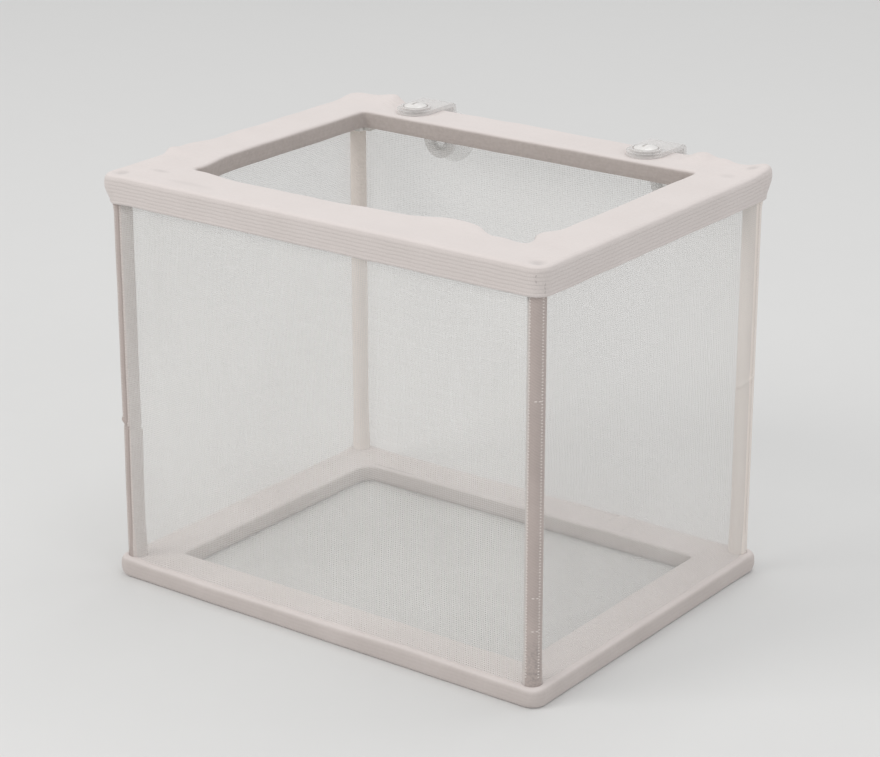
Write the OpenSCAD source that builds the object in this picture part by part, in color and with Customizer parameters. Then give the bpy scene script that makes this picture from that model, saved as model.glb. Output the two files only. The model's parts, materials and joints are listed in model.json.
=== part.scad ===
// Fish breeding box: a net bag stretched over a knock-down frame of moulded rails
// and posts, hung inside an aquarium from two clear hangers with suction cups.
// Millimetres. +Z is up, -Y is the front, the origin is the middle of the underside.

/* [Box] */
// Overall length of the box, left to right
box_l = 165; // [130:1:200]
// Overall width of the box, front to back, without the hangers
box_w = 127; // [100:1:160]
// Overall height of the box
box_h = 135; // [100:1:170]
// Outer corner radius of both frames
corner_r = 5; // [4:0.5:7]

/* [Cloth] */
// Thickness of the folded hem and of the bottom sleeve
hem_t = 0.7; // [0.5:0.1:0.9]
// Height of the hem band on the outside of the box
hem_drop = 8.8; // [8:0.1:12]
// Height of the hem's fold over the inner faces of the top rails
hem_fold = 5.4; // [4:0.2:6]
// Gap between the inner faces of the rails and the cloth folded over them
hem_ease = 0.1; // [0.1:0.05:0.3]
// Radius of the cloth at the inner corners of both frames
inner_r = 2.5; // [1:0.5:4]
// Thickness of the netting
net_t = 0.4; // [0.3:0.1:0.5]
// Gap at the seams between the netting and the tapes
seam_gap = 0.05; // [0.03:0.01:0.1]
// How far the netting lies inside the outer faces of the two frames
net_in = 2; // [1.6:0.1:2.4]
// Thickness of the tapes sewn round the four posts
tape_t = 0.5; // [0.3:0.1:0.6]
// Outer diameter of a tape round its post
tape_d = 5.6; // [5.2:0.1:6]
// How far the tapes lie inside the outer faces of the two frames
tape_in = 1.9; // [1.4:0.1:2]

/* [Top rails] */
// Width of the top rails
top_w = 16; // [14:0.5:19]
// Height of the top rails
top_h = 6.4; // [5.6:0.2:7.4]
// Thickness of their upper web
top_web = 2; // [1.6:0.2:2.6]

/* [Bottom rails] */
// Width of the bottom rails
foot_w = 13.8; // [13:0.2:18]
// Height of the bottom rails
foot_h = 4.6; // [4:0.2:6]
// Thickness of their upper web
foot_web = 1.6; // [1.2:0.2:2]

/* [Rail details] */
// Thickness of the two flanges of a rail
flange_t = 1.6; // [1.2:0.1:2]
// Thickness of a cross rib
rib_t = 1.2; // [0.8:0.1:1.6]
// Largest spacing of the cross ribs
rib_pitch = 14; // [10:1:16]
// Rounding of the upper edges of a rail
edge_r = 0.9; // [0.5:0.1:1.2]
// Gap left between a rail and the tongue of its neighbour
lap_gap = 0.2; // [0.1:0.05:0.4]

/* [Posts] */
// Radial play of a post in its tape
rod_play = 0.2; // [0.1:0.05:0.3]
// Diameter of the collars at both ends of a post
collar_d = 5.6; // [5.4:0.1:6]
// Height of the lower collar
collar_h = 3; // [2:0.5:6]
// Height of the upper collar
upper_collar_h = 1.5; // [1:0.5:4]
// Diameter of the pegs that pin the lapped rails
peg_d = 3.8; // [3:0.1:4.2]
// Radial play of a peg in its hole
peg_play = 0.05; // [0.03:0.01:0.1]

/* [Hangers] */
// Place of the left hanger along the back rail
hanger_left_x = -50; // [-55:1:-20]
// Place of the right hanger along the back rail
hanger_right_x = 41; // [20:1:55]
// Width of a hanger strap
strap_w = 12.5; // [11:0.5:14]
// Thickness of a hanger strap
strap_t = 1.4; // [1.2:0.1:1.8]
// Clear space between the hem and the leg of a hanger
leg_gap = 4.5; // [4.2:0.1:6]
// Height of the suction cup's centre below the top of the box
eye_drop = 12.5; // [12:0.5:18]
// Diameter of the snap button's shank
shank_d = 4; // [3.4:0.1:4.4]
// Diameter of the snap button's head
head_d = 7.6; // [7:0.1:8.2]
// Radial running play of a hanger on its button and of a cup in its eye
swivel_play = 0.08; // [0.05:0.01:0.1]

/* [Suction cups] */
// Diameter of the rim of a suction cup
cup_d = 18; // [17:0.5:22]
// Depth of the bell of a suction cup
cup_depth = 6.5; // [5:0.5:8]
// Diameter of its neck
neck_d = 4.6; // [4:0.1:5]
// Diameter of the knob that keeps it in the eye
knob_d = 7.4; // [6.8:0.1:8]
// Thickness of the knob
knob_t = 1.9; // [1.5:0.1:2.2]

/* [Hidden] */
$fn = 48;
// Overshoot of a cut past the face it opens
cut = 1;
// The plastic frames lie inside the cloth
frame_l = box_l - 2 * hem_t;
frame_w = box_w - 2 * hem_t;
frame_r = corner_r - hem_t;
// Underside of the top rails and upper side of the bottom rails
top_z = box_h - hem_t - top_h;
foot_z = hem_t + foot_h;
// Upper side of the bottom sleeve, where the netting starts
sleeve_h = foot_z + hem_t;
// How far the cloth reaches in from the outside of the box, with its fold
hem_w = top_w + hem_ease + 2 * hem_t;
sleeve_w = foot_w + hem_ease + 2 * hem_t;
// Post axes, measured in from the outside of the box
post_in = tape_in + tape_d / 2;
post_play = 0.2;
rod_d = tape_d - 2 * (tape_t + rod_play);
post_x = box_l / 2 - post_in;
post_y = box_w / 2 - post_in;
// Ends of the pegs stop short of the cloth
peg_short = 0.4;
peg_tip = 0.6;
// Lead-in round the upper end of a peg hole
sink_h = 0.8;
// Depth of the cross ribs below the web, and how much shorter the inner flange is
rib_drop = 2.2;
inner_lift = 1.4;
end_wall = 2;
// Hanger seats
button_y = box_w / 2 - hem_t - top_w / 2;
seat_play = 0.1;
strap_z = box_h + seat_play;
leg_y = box_w / 2 + leg_gap;
bend_r = strap_t + 0.8;
eye_z = box_h - eye_drop;
ring_wall = 0.9;
ring_h = 0.7;
ring_play = 0.5;
hanger_xs = [hanger_left_x, hanger_right_x];
// Snap button: head, split and barbs, and the boss under the rail that takes it
head_h = 1.6;
head_rim = 0.7;
split_w = 0.9;
barb_h = 1.8;
barb_out = 0.5;
boss_d = shank_d + 4;
boss_h = 1.2;
boss_play = 0.1;

// Rectangle with round corners, centred
module round_rect(l, w, r) {
    square([l - 2 * r, w], center = true);
    square([l, w - 2 * r], center = true);
    for (x = [-1, 1], y = [-1, 1])
        translate([x * (l / 2 - r), y * (w / 2 - r)])
            circle(r);
}

// Section of a rail: x runs in from the outer face, y up from the underside
module rail_section(w, h, web) {
    difference() {
        union() {
            square([w, h - edge_r]);
            translate([edge_r, 0])
                square([w - 2 * edge_r, h]);
            for (x = [edge_r, w - edge_r])
                translate([x, h - edge_r])
                    circle(edge_r);
        }
        translate([flange_t, -cut])
            square([w - 2 * flange_t, h - web + cut]);
        translate([w - flange_t - cut, -cut])
            square([flange_t + 2 * cut, inner_lift + cut]);
    }
}

// One front rail of a frame that measures len by across: a ribbed channel with a
// tongue at each end, half as thick as the rail, that laps the rail round the corner.
// Upper tongues lie on lower ones, and bosses lists the places of button bosses.
module rail(len, across, w, h, web, upper, bosses = []) {
    outer_y = -across / 2;
    run = len - 2 * (w + lap_gap);
    bays = ceil(run / rib_pitch);
    tongue_z = upper ? h / 2 : 0;
    pin = post_in - hem_t;
    difference() {
        intersection() {
            linear_extrude(h)
                round_rect(len, across, frame_r);
            union() {
                translate([-run / 2, outer_y, 0])
                    rotate([90, 0, 90])
                        linear_extrude(run)
                            rail_section(w, h, web);
                for (side = [-1, 1]) {
                    translate([side * (run - end_wall) / 2 - end_wall / 2, outer_y, 0])
                        cube([end_wall, w, h]);
                    translate([side > 0 ? run / 2 - end_wall : -len / 2, outer_y, tongue_z])
                        cube([w + lap_gap + end_wall, w, h / 2]);
                }
                for (i = [1 : bays - 1])
                    if (rib_is_clear(-run / 2 + i * run / bays, bosses))
                        translate([-run / 2 + i * run / bays - rib_t / 2, outer_y, h - web - rib_drop])
                            cube([rib_t, w - flange_t / 2, rib_drop + web / 2]);
                for (x = bosses)
                    translate([x, outer_y + w / 2, h - web - boss_h])
                        cylinder(d = boss_d, h = boss_h + web / 2);
            }
        }
        for (side = [-1, 1])
            translate([side * (len / 2 - pin), outer_y + pin, -cut])
                cylinder(r = peg_d / 2 + peg_play, h = h + 2 * cut);
        for (x = bosses)
            translate([x, outer_y + w / 2, -cut])
                cylinder(r = shank_d / 2 + boss_play, h = h + 2 * cut);
    }
}

// True where a rib at x stays off every button boss
function rib_is_clear(x, bosses) =
    len([for (b = bosses) if (abs(x - b) < (boss_d + rib_t) / 2 + 1) b]) == 0;

module top_rail(len, across, upper, bosses = []) {
    pin = post_in - hem_t;
    hole_r = peg_d / 2 + peg_play;
    color([0.93, 0.92, 0.9])
        translate([0, 0, top_z])
            difference() {
                rail(len, across, top_w, top_h, top_web, upper, bosses);
                if (upper)
                    for (side = [-1, 1])
                        translate([side * (len / 2 - pin), pin - across / 2, top_h - sink_h])
                            cylinder(r1 = hole_r, r2 = hole_r + sink_h + cut, h = sink_h + cut);
            }
}

module bottom_rail(len, across, upper) {
    color([0.93, 0.92, 0.9])
        translate([0, 0, hem_t])
            rail(len, across, foot_w, foot_h, foot_web, upper);
}

module top_rail_front() {
    top_rail(frame_l, frame_w, false);
}

module top_rail_back() {
    mirror([0, 1, 0])
        top_rail(frame_l, frame_w, false, hanger_xs);
}

module top_rail_left() {
    rotate(-90)
        top_rail(frame_w, frame_l, true);
}

module top_rail_right() {
    rotate(90)
        top_rail(frame_w, frame_l, true);
}

module bottom_rail_front() {
    bottom_rail(frame_l, frame_w, false);
}

module bottom_rail_back() {
    mirror([0, 1, 0])
        bottom_rail(frame_l, frame_w, false);
}

module bottom_rail_left() {
    rotate(-90)
        bottom_rail(frame_w, frame_l, true);
}

module bottom_rail_right() {
    rotate(90)
        bottom_rail(frame_w, frame_l, true);
}

// A peg that points up from z = 0, with a bevelled tip
module peg(len) {
    cylinder(d = peg_d, h = len - peg_tip);
    translate([0, 0, len - peg_tip])
        cylinder(d1 = peg_d, d2 = peg_d - 2 * peg_tip, h = peg_tip);
}

// Collar of height h with a bevelled inner edge, which carries the end of a tape
module collar(h) {
    bevel = (collar_d - tape_d + 2 * tape_t) / 4;
    cylinder(d = collar_d, h = h - bevel);
    translate([0, 0, h - bevel])
        cylinder(d1 = collar_d, d2 = collar_d - 2 * bevel, h = bevel);
}

// Corner post: a rod between two collars, with a peg at each end
module post(x, y) {
    color([0.92, 0.91, 0.89])
        translate([x * post_x, y * post_y, 0]) {
            translate([0, 0, foot_z])
                cylinder(d = rod_d, h = top_z - foot_z);
            translate([0, 0, foot_z]) {
                collar(collar_h);
                mirror([0, 0, 1])
                    peg(foot_h - peg_short);
            }
            translate([0, 0, top_z]) {
                peg(top_h - peg_short);
                mirror([0, 0, 1])
                    collar(upper_collar_h);
            }
        }
}

module post_front_left() {
    post(-1, -1);
}

module post_front_right() {
    post(1, -1);
}

module post_back_left() {
    post(-1, 1);
}

module post_back_right() {
    post(1, 1);
}

// The bag's front side between two posts: run from axis to axis, across front to back
module net_wall(run, across) {
    color([0.92, 0.95, 0.94, 0.5])
        translate([0, 0, sleeve_h])
            linear_extrude(top_z - sleeve_h)
                difference() {
                    translate([-run / 2, net_in - across / 2])
                        square([run, net_t]);
                    for (side = [-1, 1])
                        translate([side * run / 2, post_in - across / 2])
                            circle(d = max(tape_d, collar_d) + 2 * seam_gap);
                }
}

module net_wall_front() {
    net_wall(2 * post_x, box_w);
}

module net_wall_back() {
    mirror([0, 1, 0])
        net_wall(2 * post_x, box_w);
}

module net_wall_left() {
    rotate(-90)
        net_wall(2 * post_y, box_l);
}

module net_wall_right() {
    rotate(90)
        net_wall(2 * post_y, box_l);
}

module net_floor() {
    color([0.92, 0.95, 0.94, 0.5])
        linear_extrude(net_t)
            round_rect(box_l - 2 * sleeve_w, box_w - 2 * sleeve_w, inner_r);
}

// Flat ring of cloth, as wide as w all round
module cloth_ring(w, h) {
    linear_extrude(h)
        difference() {
            round_rect(box_l, box_w, corner_r);
            round_rect(box_l - 2 * w, box_w - 2 * w, inner_r);
        }
}

// Upright fold of cloth round the inner edge of a ring as wide as w
module cloth_fold(w, h) {
    linear_extrude(h)
        difference() {
            round_rect(box_l - 2 * (w - hem_t), box_w - 2 * (w - hem_t), inner_r + hem_t);
            round_rect(box_l - 2 * w, box_w - 2 * w, inner_r);
        }
}

// Upright band of cloth round the outside of a frame
module cloth_band(h) {
    linear_extrude(h)
        difference() {
            round_rect(box_l, box_w, corner_r);
            round_rect(frame_l, frame_w, frame_r);
        }
}

// Hem that folds over both sides of the top frame, pierced for the two snap buttons
module top_hem() {
    color([0.88, 0.85, 0.83])
        difference() {
            union() {
                translate([0, 0, box_h - hem_drop])
                    cloth_band(hem_drop);
                translate([0, 0, box_h - hem_t])
                    cloth_ring(hem_w, hem_t);
                translate([0, 0, box_h - hem_fold])
                    cloth_fold(hem_w, hem_fold);
            }
            for (x = hanger_xs)
                translate([x, button_y, box_h - hem_t - cut])
                    cylinder(r = shank_d / 2 + ring_play, h = hem_t + 2 * cut);
        }
}

// Sleeve that folds round the bottom frame, with a hole for each post
module bottom_sleeve() {
    color([0.88, 0.85, 0.83])
        difference() {
            union() {
                cloth_band(sleeve_h);
                cloth_ring(sleeve_w, hem_t);
                translate([0, 0, foot_z])
                    cloth_ring(sleeve_w, hem_t);
                translate([0, 0, hem_t + inner_lift])
                    cloth_fold(sleeve_w, sleeve_h - hem_t - inner_lift);
            }
            for (x = [-1, 1], y = [-1, 1])
                translate([x * post_x, y * post_y, foot_z - cut / 4])
                    cylinder(d = collar_d + 2 * post_play, h = hem_t + cut);
        }
}

// Tape sewn round the post at the corner x, y, from collar to collar
module corner_tape(x, y) {
    low = foot_z + collar_h;
    len = top_z - upper_collar_h - low;
    color([0.78, 0.75, 0.72])
        translate([x * post_x, y * post_y, low])
            difference() {
                cylinder(d = tape_d, h = len);
                translate([0, 0, -cut])
                    cylinder(d = tape_d - 2 * tape_t, h = len + 2 * cut);
            }
}

module corner_tape_front_left() {
    corner_tape(-1, -1);
}

module corner_tape_front_right() {
    corner_tape(1, -1);
}

module corner_tape_back_left() {
    corner_tape(-1, 1);
}

module corner_tape_back_right() {
    corner_tape(1, 1);
}

// Side view of a strap: along the rail's top, round a bend and down to the eye
module strap_side() {
    top = strap_z + strap_t;
    difference() {
        union() {
            translate([button_y, strap_z])
                square([leg_y + strap_t - bend_r - button_y, strap_t]);
            translate([leg_y, eye_z])
                square([strap_t, top - bend_r - eye_z]);
            intersection() {
                translate([leg_y + strap_t - bend_r, top - bend_r])
                    circle(bend_r);
                translate([leg_y + strap_t - bend_r, top - bend_r])
                    square(bend_r);
            }
        }
        translate([leg_y + strap_t - bend_r, top - bend_r])
            circle(bend_r - strap_t);
    }
}

// Clear strap that swivels on its snap button, with an eye for a suction cup
module hanger(x) {
    ring_d = head_d + 2 * (ring_play + ring_wall);
    color([0.86, 0.9, 0.9, 0.5])
        translate([x, 0, 0])
            difference() {
                union() {
                    translate([-strap_w / 2, 0, 0])
                        rotate([90, 0, 90])
                            linear_extrude(strap_w)
                                strap_side();
                    translate([0, button_y, strap_z])
                        cylinder(d = strap_w, h = strap_t);
                    translate([0, button_y, strap_z])
                        cylinder(d = ring_d, h = strap_t + ring_h);
                    translate([0, leg_y, eye_z])
                        rotate([-90, 0, 0])
                            cylinder(d = strap_w, h = strap_t);
                }
                translate([0, button_y, strap_z + strap_t])
                    cylinder(d = head_d + 2 * ring_play, h = ring_h + cut);
                translate([0, button_y, strap_z - cut])
                    cylinder(r = shank_d / 2 + swivel_play, h = strap_t + 2 * cut);
                translate([0, leg_y - cut, eye_z])
                    rotate([-90, 0, 0])
                        cylinder(r = neck_d / 2 + swivel_play, h = strap_t + 2 * cut);
            }
}

module hanger_left() {
    hanger(hanger_left_x);
}

module hanger_right() {
    hanger(hanger_right_x);
}

// Split snap button: a low domed head, a shank that stays whole where the strap turns
// on it, and below the hem two springy legs with barbs that catch under the rail's boss
module snap_button(x) {
    head_z = strap_z + strap_t + seat_play;
    barb_z = box_h - hem_t - top_web - boss_h - seat_play;
    legs_z = barb_z - barb_h;
    dome_h = head_h - head_rim;
    dome_r = (pow(head_d / 2, 2) + pow(dome_h, 2)) / (2 * dome_h);
    color([0.9, 0.92, 0.92, 0.8])
        translate([x, button_y, 0])
            difference() {
                union() {
                    translate([0, 0, head_z])
                        cylinder(d = head_d, h = head_rim);
                    intersection() {
                        translate([0, 0, head_z + head_h - dome_r])
                            sphere(dome_r);
                        translate([0, 0, head_z + head_rim / 2])
                            cylinder(d = head_d, h = head_h);
                    }
                    translate([0, 0, barb_z])
                        cylinder(d = shank_d, h = head_z - barb_z + head_rim / 2);
                    translate([0, 0, legs_z])
                        cylinder(d1 = shank_d - 1, d2 = shank_d + 2 * barb_out, h = barb_h);
                }
                translate([-split_w / 2, -head_d, legs_z - cut])
                    cube([split_w, 2 * head_d, box_h - hem_t - legs_z + cut]);
                translate([-split_w / 2, -head_d / 4, head_z + head_rim])
                    cube([split_w, head_d / 2, head_h]);
            }
}

module snap_button_left() {
    snap_button(hanger_left_x);
}

module snap_button_right() {
    snap_button(hanger_right_x);
}

// Half section of a suction cup: x is the radius, y runs from the knob to the rim
module cup_section() {
    neck_end = strap_t + 2 * seat_play;
    bell = neck_end + cup_depth;
    root_d = knob_d + 1;
    root_t = 2;
    lip_t = 0.7;
    polygon([
        [0, -knob_t], [knob_d / 2 - 0.6, -knob_t], [knob_d / 2, 0.6 - knob_t],
        [knob_d / 2, 0], [neck_d / 2, 0], [neck_d / 2, neck_end],
        [root_d / 2, neck_end], [root_d / 2, neck_end + root_t],
        for (i = [1 : 6]) cup_curve(i / 6, root_d / 2, cup_d / 2, neck_end + root_t, bell - lip_t),
        [cup_d / 2, bell],
        for (i = [6 : -1 : 1]) cup_curve(i / 6, 0, cup_d / 2 - lip_t, neck_end + root_t + 1, bell),
        [0, neck_end + root_t + 1]
    ]);
}

// Point of a quarter-sine flare from radius r0 at height z0 to r1 at z1
function cup_curve(t, r0, r1, z0, z1) =
    [r0 + (r1 - r0) * t, z0 + (z1 - z0) * (1 - cos(90 * t))];

module suction_cup(x) {
    color([0.84, 0.88, 0.87, 0.6])
        translate([x, leg_y - seat_play, eye_z])
            rotate([-90, 0, 0])
                rotate_extrude()
                    cup_section();
}

module suction_cup_left() {
    suction_cup(hanger_left_x);
}

module suction_cup_right() {
    suction_cup(hanger_right_x);
}

top_rail_front();
top_rail_back();
top_rail_left();
top_rail_right();
bottom_rail_front();
bottom_rail_back();
bottom_rail_left();
bottom_rail_right();
post_front_left();
post_front_right();
post_back_left();
post_back_right();
net_wall_front();
net_wall_back();
net_wall_left();
net_wall_right();
net_floor();
top_hem();
bottom_sleeve();
corner_tape_front_left();
corner_tape_front_right();
corner_tape_back_left();
corner_tape_back_right();
hanger_left();
hanger_right();
snap_button_left();
snap_button_right();
suction_cup_left();
suction_cup_right();
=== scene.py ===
"""Looks of a fish breeding box: cloth, netting, tapes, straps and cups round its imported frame.

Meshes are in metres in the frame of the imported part: +Z up, -Y the front, the origin in the
middle of the underside. The classes hold their sizes in millimetres, measured on the frame's
nodes where they follow them, and turn them to metres when a mesh is made.
"""
import json
import logging
import math
from abc import ABC, abstractmethod
from contextlib import contextmanager
from dataclasses import dataclass
from enum import Enum
from typing import Callable, Iterator, Sequence

import bmesh
import bpy
import numpy as np
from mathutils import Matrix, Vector, noise

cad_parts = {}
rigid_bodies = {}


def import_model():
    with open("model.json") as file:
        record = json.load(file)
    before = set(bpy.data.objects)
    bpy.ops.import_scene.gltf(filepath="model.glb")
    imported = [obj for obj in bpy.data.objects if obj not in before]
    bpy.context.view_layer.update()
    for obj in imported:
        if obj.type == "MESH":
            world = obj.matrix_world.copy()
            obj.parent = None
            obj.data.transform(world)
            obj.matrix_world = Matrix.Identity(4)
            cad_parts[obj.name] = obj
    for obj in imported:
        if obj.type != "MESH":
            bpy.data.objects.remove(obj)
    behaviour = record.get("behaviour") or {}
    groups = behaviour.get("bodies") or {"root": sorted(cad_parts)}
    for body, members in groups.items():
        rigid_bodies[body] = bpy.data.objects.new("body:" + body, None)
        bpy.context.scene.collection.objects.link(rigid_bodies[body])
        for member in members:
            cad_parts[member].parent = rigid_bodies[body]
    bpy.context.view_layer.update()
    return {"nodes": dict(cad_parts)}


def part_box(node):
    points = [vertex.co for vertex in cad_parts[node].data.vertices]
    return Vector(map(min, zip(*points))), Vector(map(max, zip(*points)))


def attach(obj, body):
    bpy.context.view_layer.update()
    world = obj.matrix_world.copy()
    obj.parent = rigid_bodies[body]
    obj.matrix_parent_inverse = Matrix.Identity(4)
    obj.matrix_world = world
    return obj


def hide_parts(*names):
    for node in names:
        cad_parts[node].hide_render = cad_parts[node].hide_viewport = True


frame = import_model()

log = logging.getLogger("breeding_box")
MM = 0.001
BODY = "box"
CLOTH_MAP = "cloth"
HANDS = ("left", "right")
SHARP_FOLD = 50.0
SHARP_NET = 60.0


# --- sizes of the frame's nodes --------------------------------------------------------


def node_box(node: str) -> tuple[np.ndarray, np.ndarray]:
    """The lowest and the highest corner of a node, in millimetres to a thousandth."""
    low, high = (np.round(np.array(corner) / MM, 3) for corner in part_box(node))
    return low, high


def seat(node: str) -> tuple[float, float]:
    """Where the middle of a node stands, seen from above."""
    x, y, _ = np.round(sum(node_box(node)) / 2, 3).tolist()
    return x, y


HEM_LOW, HEM_HIGH = (corner.tolist() for corner in node_box("top_hem"))
BOX_LENGTH, BOX_WIDTH, BAND_HEIGHT = (round(high - low, 3) for low, high in zip(HEM_LOW, HEM_HIGH))
BOX_TOP = HEM_HIGH[2]
SLEEVE_TOP = float(node_box("bottom_sleeve")[1][2])
NET_TOP = float(node_box("net_wall_front")[1][2])
TAPE_TOP = float(node_box("corner_tape_front_left")[1][2])
POST_IN = round(BOX_LENGTH / 2 - seat("post_back_right")[0], 3)
BUTTONS = tuple(seat(f"snap_button_{hand}") for hand in HANDS)


# --- modelling by operators ------------------------------------------------------------


def deselect_all() -> None:
    """Leave nothing selected, so that the next operator touches only what it is given."""
    for ob in bpy.context.view_layer.objects:
        ob.select_set(False)


def make_active(ob: bpy.types.Object) -> None:
    """Select one object alone and make it active.

    Args:
        ob: The object.
    """
    deselect_all()
    ob.select_set(True)
    bpy.context.view_layer.objects.active = ob


@contextmanager
def edit_mode(ob: bpy.types.Object) -> Iterator[None]:
    """Open an object in edit mode, all of it selected, for the length of a with block.

    Args:
        ob: The object.

    Returns:
        The context of the with block.
    """
    make_active(ob)
    bpy.ops.object.mode_set(mode="EDIT")
    bpy.ops.mesh.select_all(action="SELECT")
    try:
        yield
    finally:
        bpy.ops.object.mode_set(mode="OBJECT")


def select_faces(ob: bpy.types.Object, wanted: Callable[[Vector, Vector], bool]) -> None:
    """Select the faces of an object in edit mode that pass a test.

    Args:
        ob: The object that is open in edit mode.
        wanted: A test of a face's middle and its normal.
    """
    bpy.ops.mesh.select_mode(type="FACE")
    bpy.ops.mesh.select_all(action="DESELECT")
    shape = bmesh.from_edit_mesh(ob.data)
    for face in shape.faces:
        if wanted(face.calc_center_median(), face.normal):
            face.select_set(True)
    shape.select_flush_mode()
    bmesh.update_edit_mesh(ob.data)


def settle(ob: bpy.types.Object, name: str) -> bpy.types.Object:
    """Name an object and move its place, turn and scale into its mesh.

    Args:
        ob: The object to finish.
        name: Its name, which its mesh takes too.

    Returns:
        The same object.
    """
    ob.name = ob.data.name = name
    make_active(ob)
    bpy.ops.object.transform_apply(location=True, rotation=True, scale=True)
    return ob


def smooth(ob: bpy.types.Object, degrees: float) -> None:
    """Shade an object smooth, with creases at edges sharper than an angle."""
    make_active(ob)
    bpy.ops.object.shade_smooth_by_angle(angle=math.radians(degrees))


def face_outwards(ob: bpy.types.Object) -> None:
    """Point every face of a closed mesh outwards."""
    with edit_mode(ob):
        bpy.ops.mesh.normals_make_consistent(inside=False)


# --- modelling by points ---------------------------------------------------------------


def mesh_piece(name: str, points: np.ndarray, faces: Sequence[Sequence[int]]) -> bpy.types.Object:
    """Make a mesh object from points in millimetres.

    Args:
        name: The object's name.
        points: One row of x, y and z for each vertex.
        faces: The vertex numbers of each face.

    Returns:
        The new object, at the origin.
    """
    mesh = bpy.data.meshes.new(name)
    mesh.from_pydata((np.asarray(points) * MM).tolist(), [], [list(f) for f in faces])
    mesh.update()
    ob = bpy.data.objects.new(name, mesh)
    bpy.context.scene.collection.objects.link(ob)
    return ob


def write_map(ob: bpy.types.Object, per_corner: np.ndarray) -> None:
    """Give a mesh its cloth map, in metres along and across the threads."""
    layer = ob.data.uv_layers.new(name=CLOTH_MAP)
    layer.uv.foreach_set("vector", (np.asarray(per_corner) * MM).astype(np.float32).ravel())


def sheet_piece(name: str, points: np.ndarray, flat: np.ndarray, count: int) -> bpy.types.Object:
    """Make an open sheet from a grid of points.

    Args:
        name: The sheet's name.
        points: Places in millimetres, row by row.
        flat: Where each lies on the flat cloth.
        count: How many points a row has.

    Returns:
        The sheet, smooth and with its cloth map.
    """
    starts = [row + k for row in range(0, len(points) - count, count) for k in range(count - 1)]
    faces = [(v, v + 1, v + count + 1, v + count) for v in starts]
    ob = mesh_piece(name, points, faces)
    write_map(ob, flat[np.array(faces).ravel()])
    smooth(ob, SHARP_NET)
    return ob


def ripple(points: np.ndarray, wave: float, seed: float) -> np.ndarray:
    """Smooth unevenness from 0 to 1 at each point.

    Args:
        points: Places in millimetres, one a row.
        wave: The size of a ripple.
        seed: An offset that gives each piece its own pattern.

    Returns:
        One value for each point.
    """
    places = (points / wave + seed).tolist()
    return np.array([0.5 + 0.5 * noise.noise(Vector(p)) for p in places])


def ease(share: np.ndarray) -> np.ndarray:
    """Round off a straight rise from 0 to 1 at both of its ends."""
    return share**2 * (3 - 2 * share)


def arc(
    middle: tuple[float, float], radius: float, start: float, end: float, steps: int
) -> list[tuple[float, float]]:
    """Points of an arc.

    Args:
        middle: Its centre.
        radius: Its radius.
        start: The angle it starts at, in degrees.
        end: The angle it ends at.
        steps: How many pieces it is cut in.

    Returns:
        The points, both ends among them.
    """
    turns = np.radians(np.linspace(start, end, steps + 1))
    return [(middle[0] + radius * math.cos(t), middle[1] + radius * math.sin(t)) for t in turns]


def spread(path: Sequence[tuple[float, float]], step: float) -> np.ndarray:
    """Add points to a path so that none of its pieces is longer than a step.

    Args:
        path: The points that it has.
        step: The longest that a piece may be.

    Returns:
        All the points, one a row.
    """
    points = [np.array(path[0], float)]
    for start, end in zip(path, path[1:]):
        start, end = np.array(start, float), np.array(end, float)
        pieces = max(1, math.ceil(np.linalg.norm(end - start) / step - 1e-6))
        points += [start + (end - start) * k / pieces for k in range(1, pieces + 1)]
    return np.array(points)


def run_along(points: np.ndarray) -> np.ndarray:
    """How far along a path each of its points lies."""
    return np.concatenate(([0.0], np.cumsum(np.linalg.norm(np.diff(points, axis=0), axis=1))))


def thicken(path: np.ndarray, thickness: float, cap_steps: int = 3) -> tuple[np.ndarray, np.ndarray]:
    """Turn the outer line of a cloth into its closed section with round edges.

    Args:
        path: The outer line; the cloth lies on its right.
        thickness: The cloth's thickness.
        cap_steps: How many pieces each round edge is cut in.

    Returns:
        The section's points, and how far along the cloth each lies.
    """
    run = run_along(path)
    units = np.diff(path, axis=0)
    units /= np.linalg.norm(units, axis=1)[:, None]
    units = np.vstack((units[:1], units[:-1] + units[1:], units[-1:]))
    units /= np.linalg.norm(units, axis=1)[:, None]
    right = np.stack((units[:, 1], -units[:, 0]), axis=1)
    inner = path + right * thickness
    half = thickness / 2
    caps = []
    for end, sign in ((-1, 1.0), (0, -1.0)):
        middle, ahead, side = (path[end] + inner[end]) / 2, units[end] * sign, -right[end] * sign
        turns = np.linspace(0, math.pi, cap_steps + 1)[1:-1]
        rim = [middle + half * (side * math.cos(t) + ahead * math.sin(t)) for t in turns]
        caps.append(np.array(rim))
    points = np.vstack((path, caps[0], inner[::-1], caps[1]))
    along = np.concatenate((run, np.full(len(caps[0]), run[-1]), run[::-1], np.zeros(len(caps[1]))))
    return points, along


# --- shader graphs ---------------------------------------------------------------------

Rgb = tuple[float, float, float]
Socket = bpy.types.NodeSocket
Sockets = bpy.types.bpy_prop_collection
Feed = Socket | float | tuple
FLOAT, VECTOR = "NodeSocketFloat", "NodeSocketVector"


def rgba(colour: Rgb) -> tuple[float, ...]:
    """Add full alpha to a linear colour."""
    return (*colour, 1.0)


def metres(values: Sequence[float]) -> tuple[float, ...]:
    """Turn sizes in millimetres to metres."""
    return tuple(v * MM for v in values)


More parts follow.
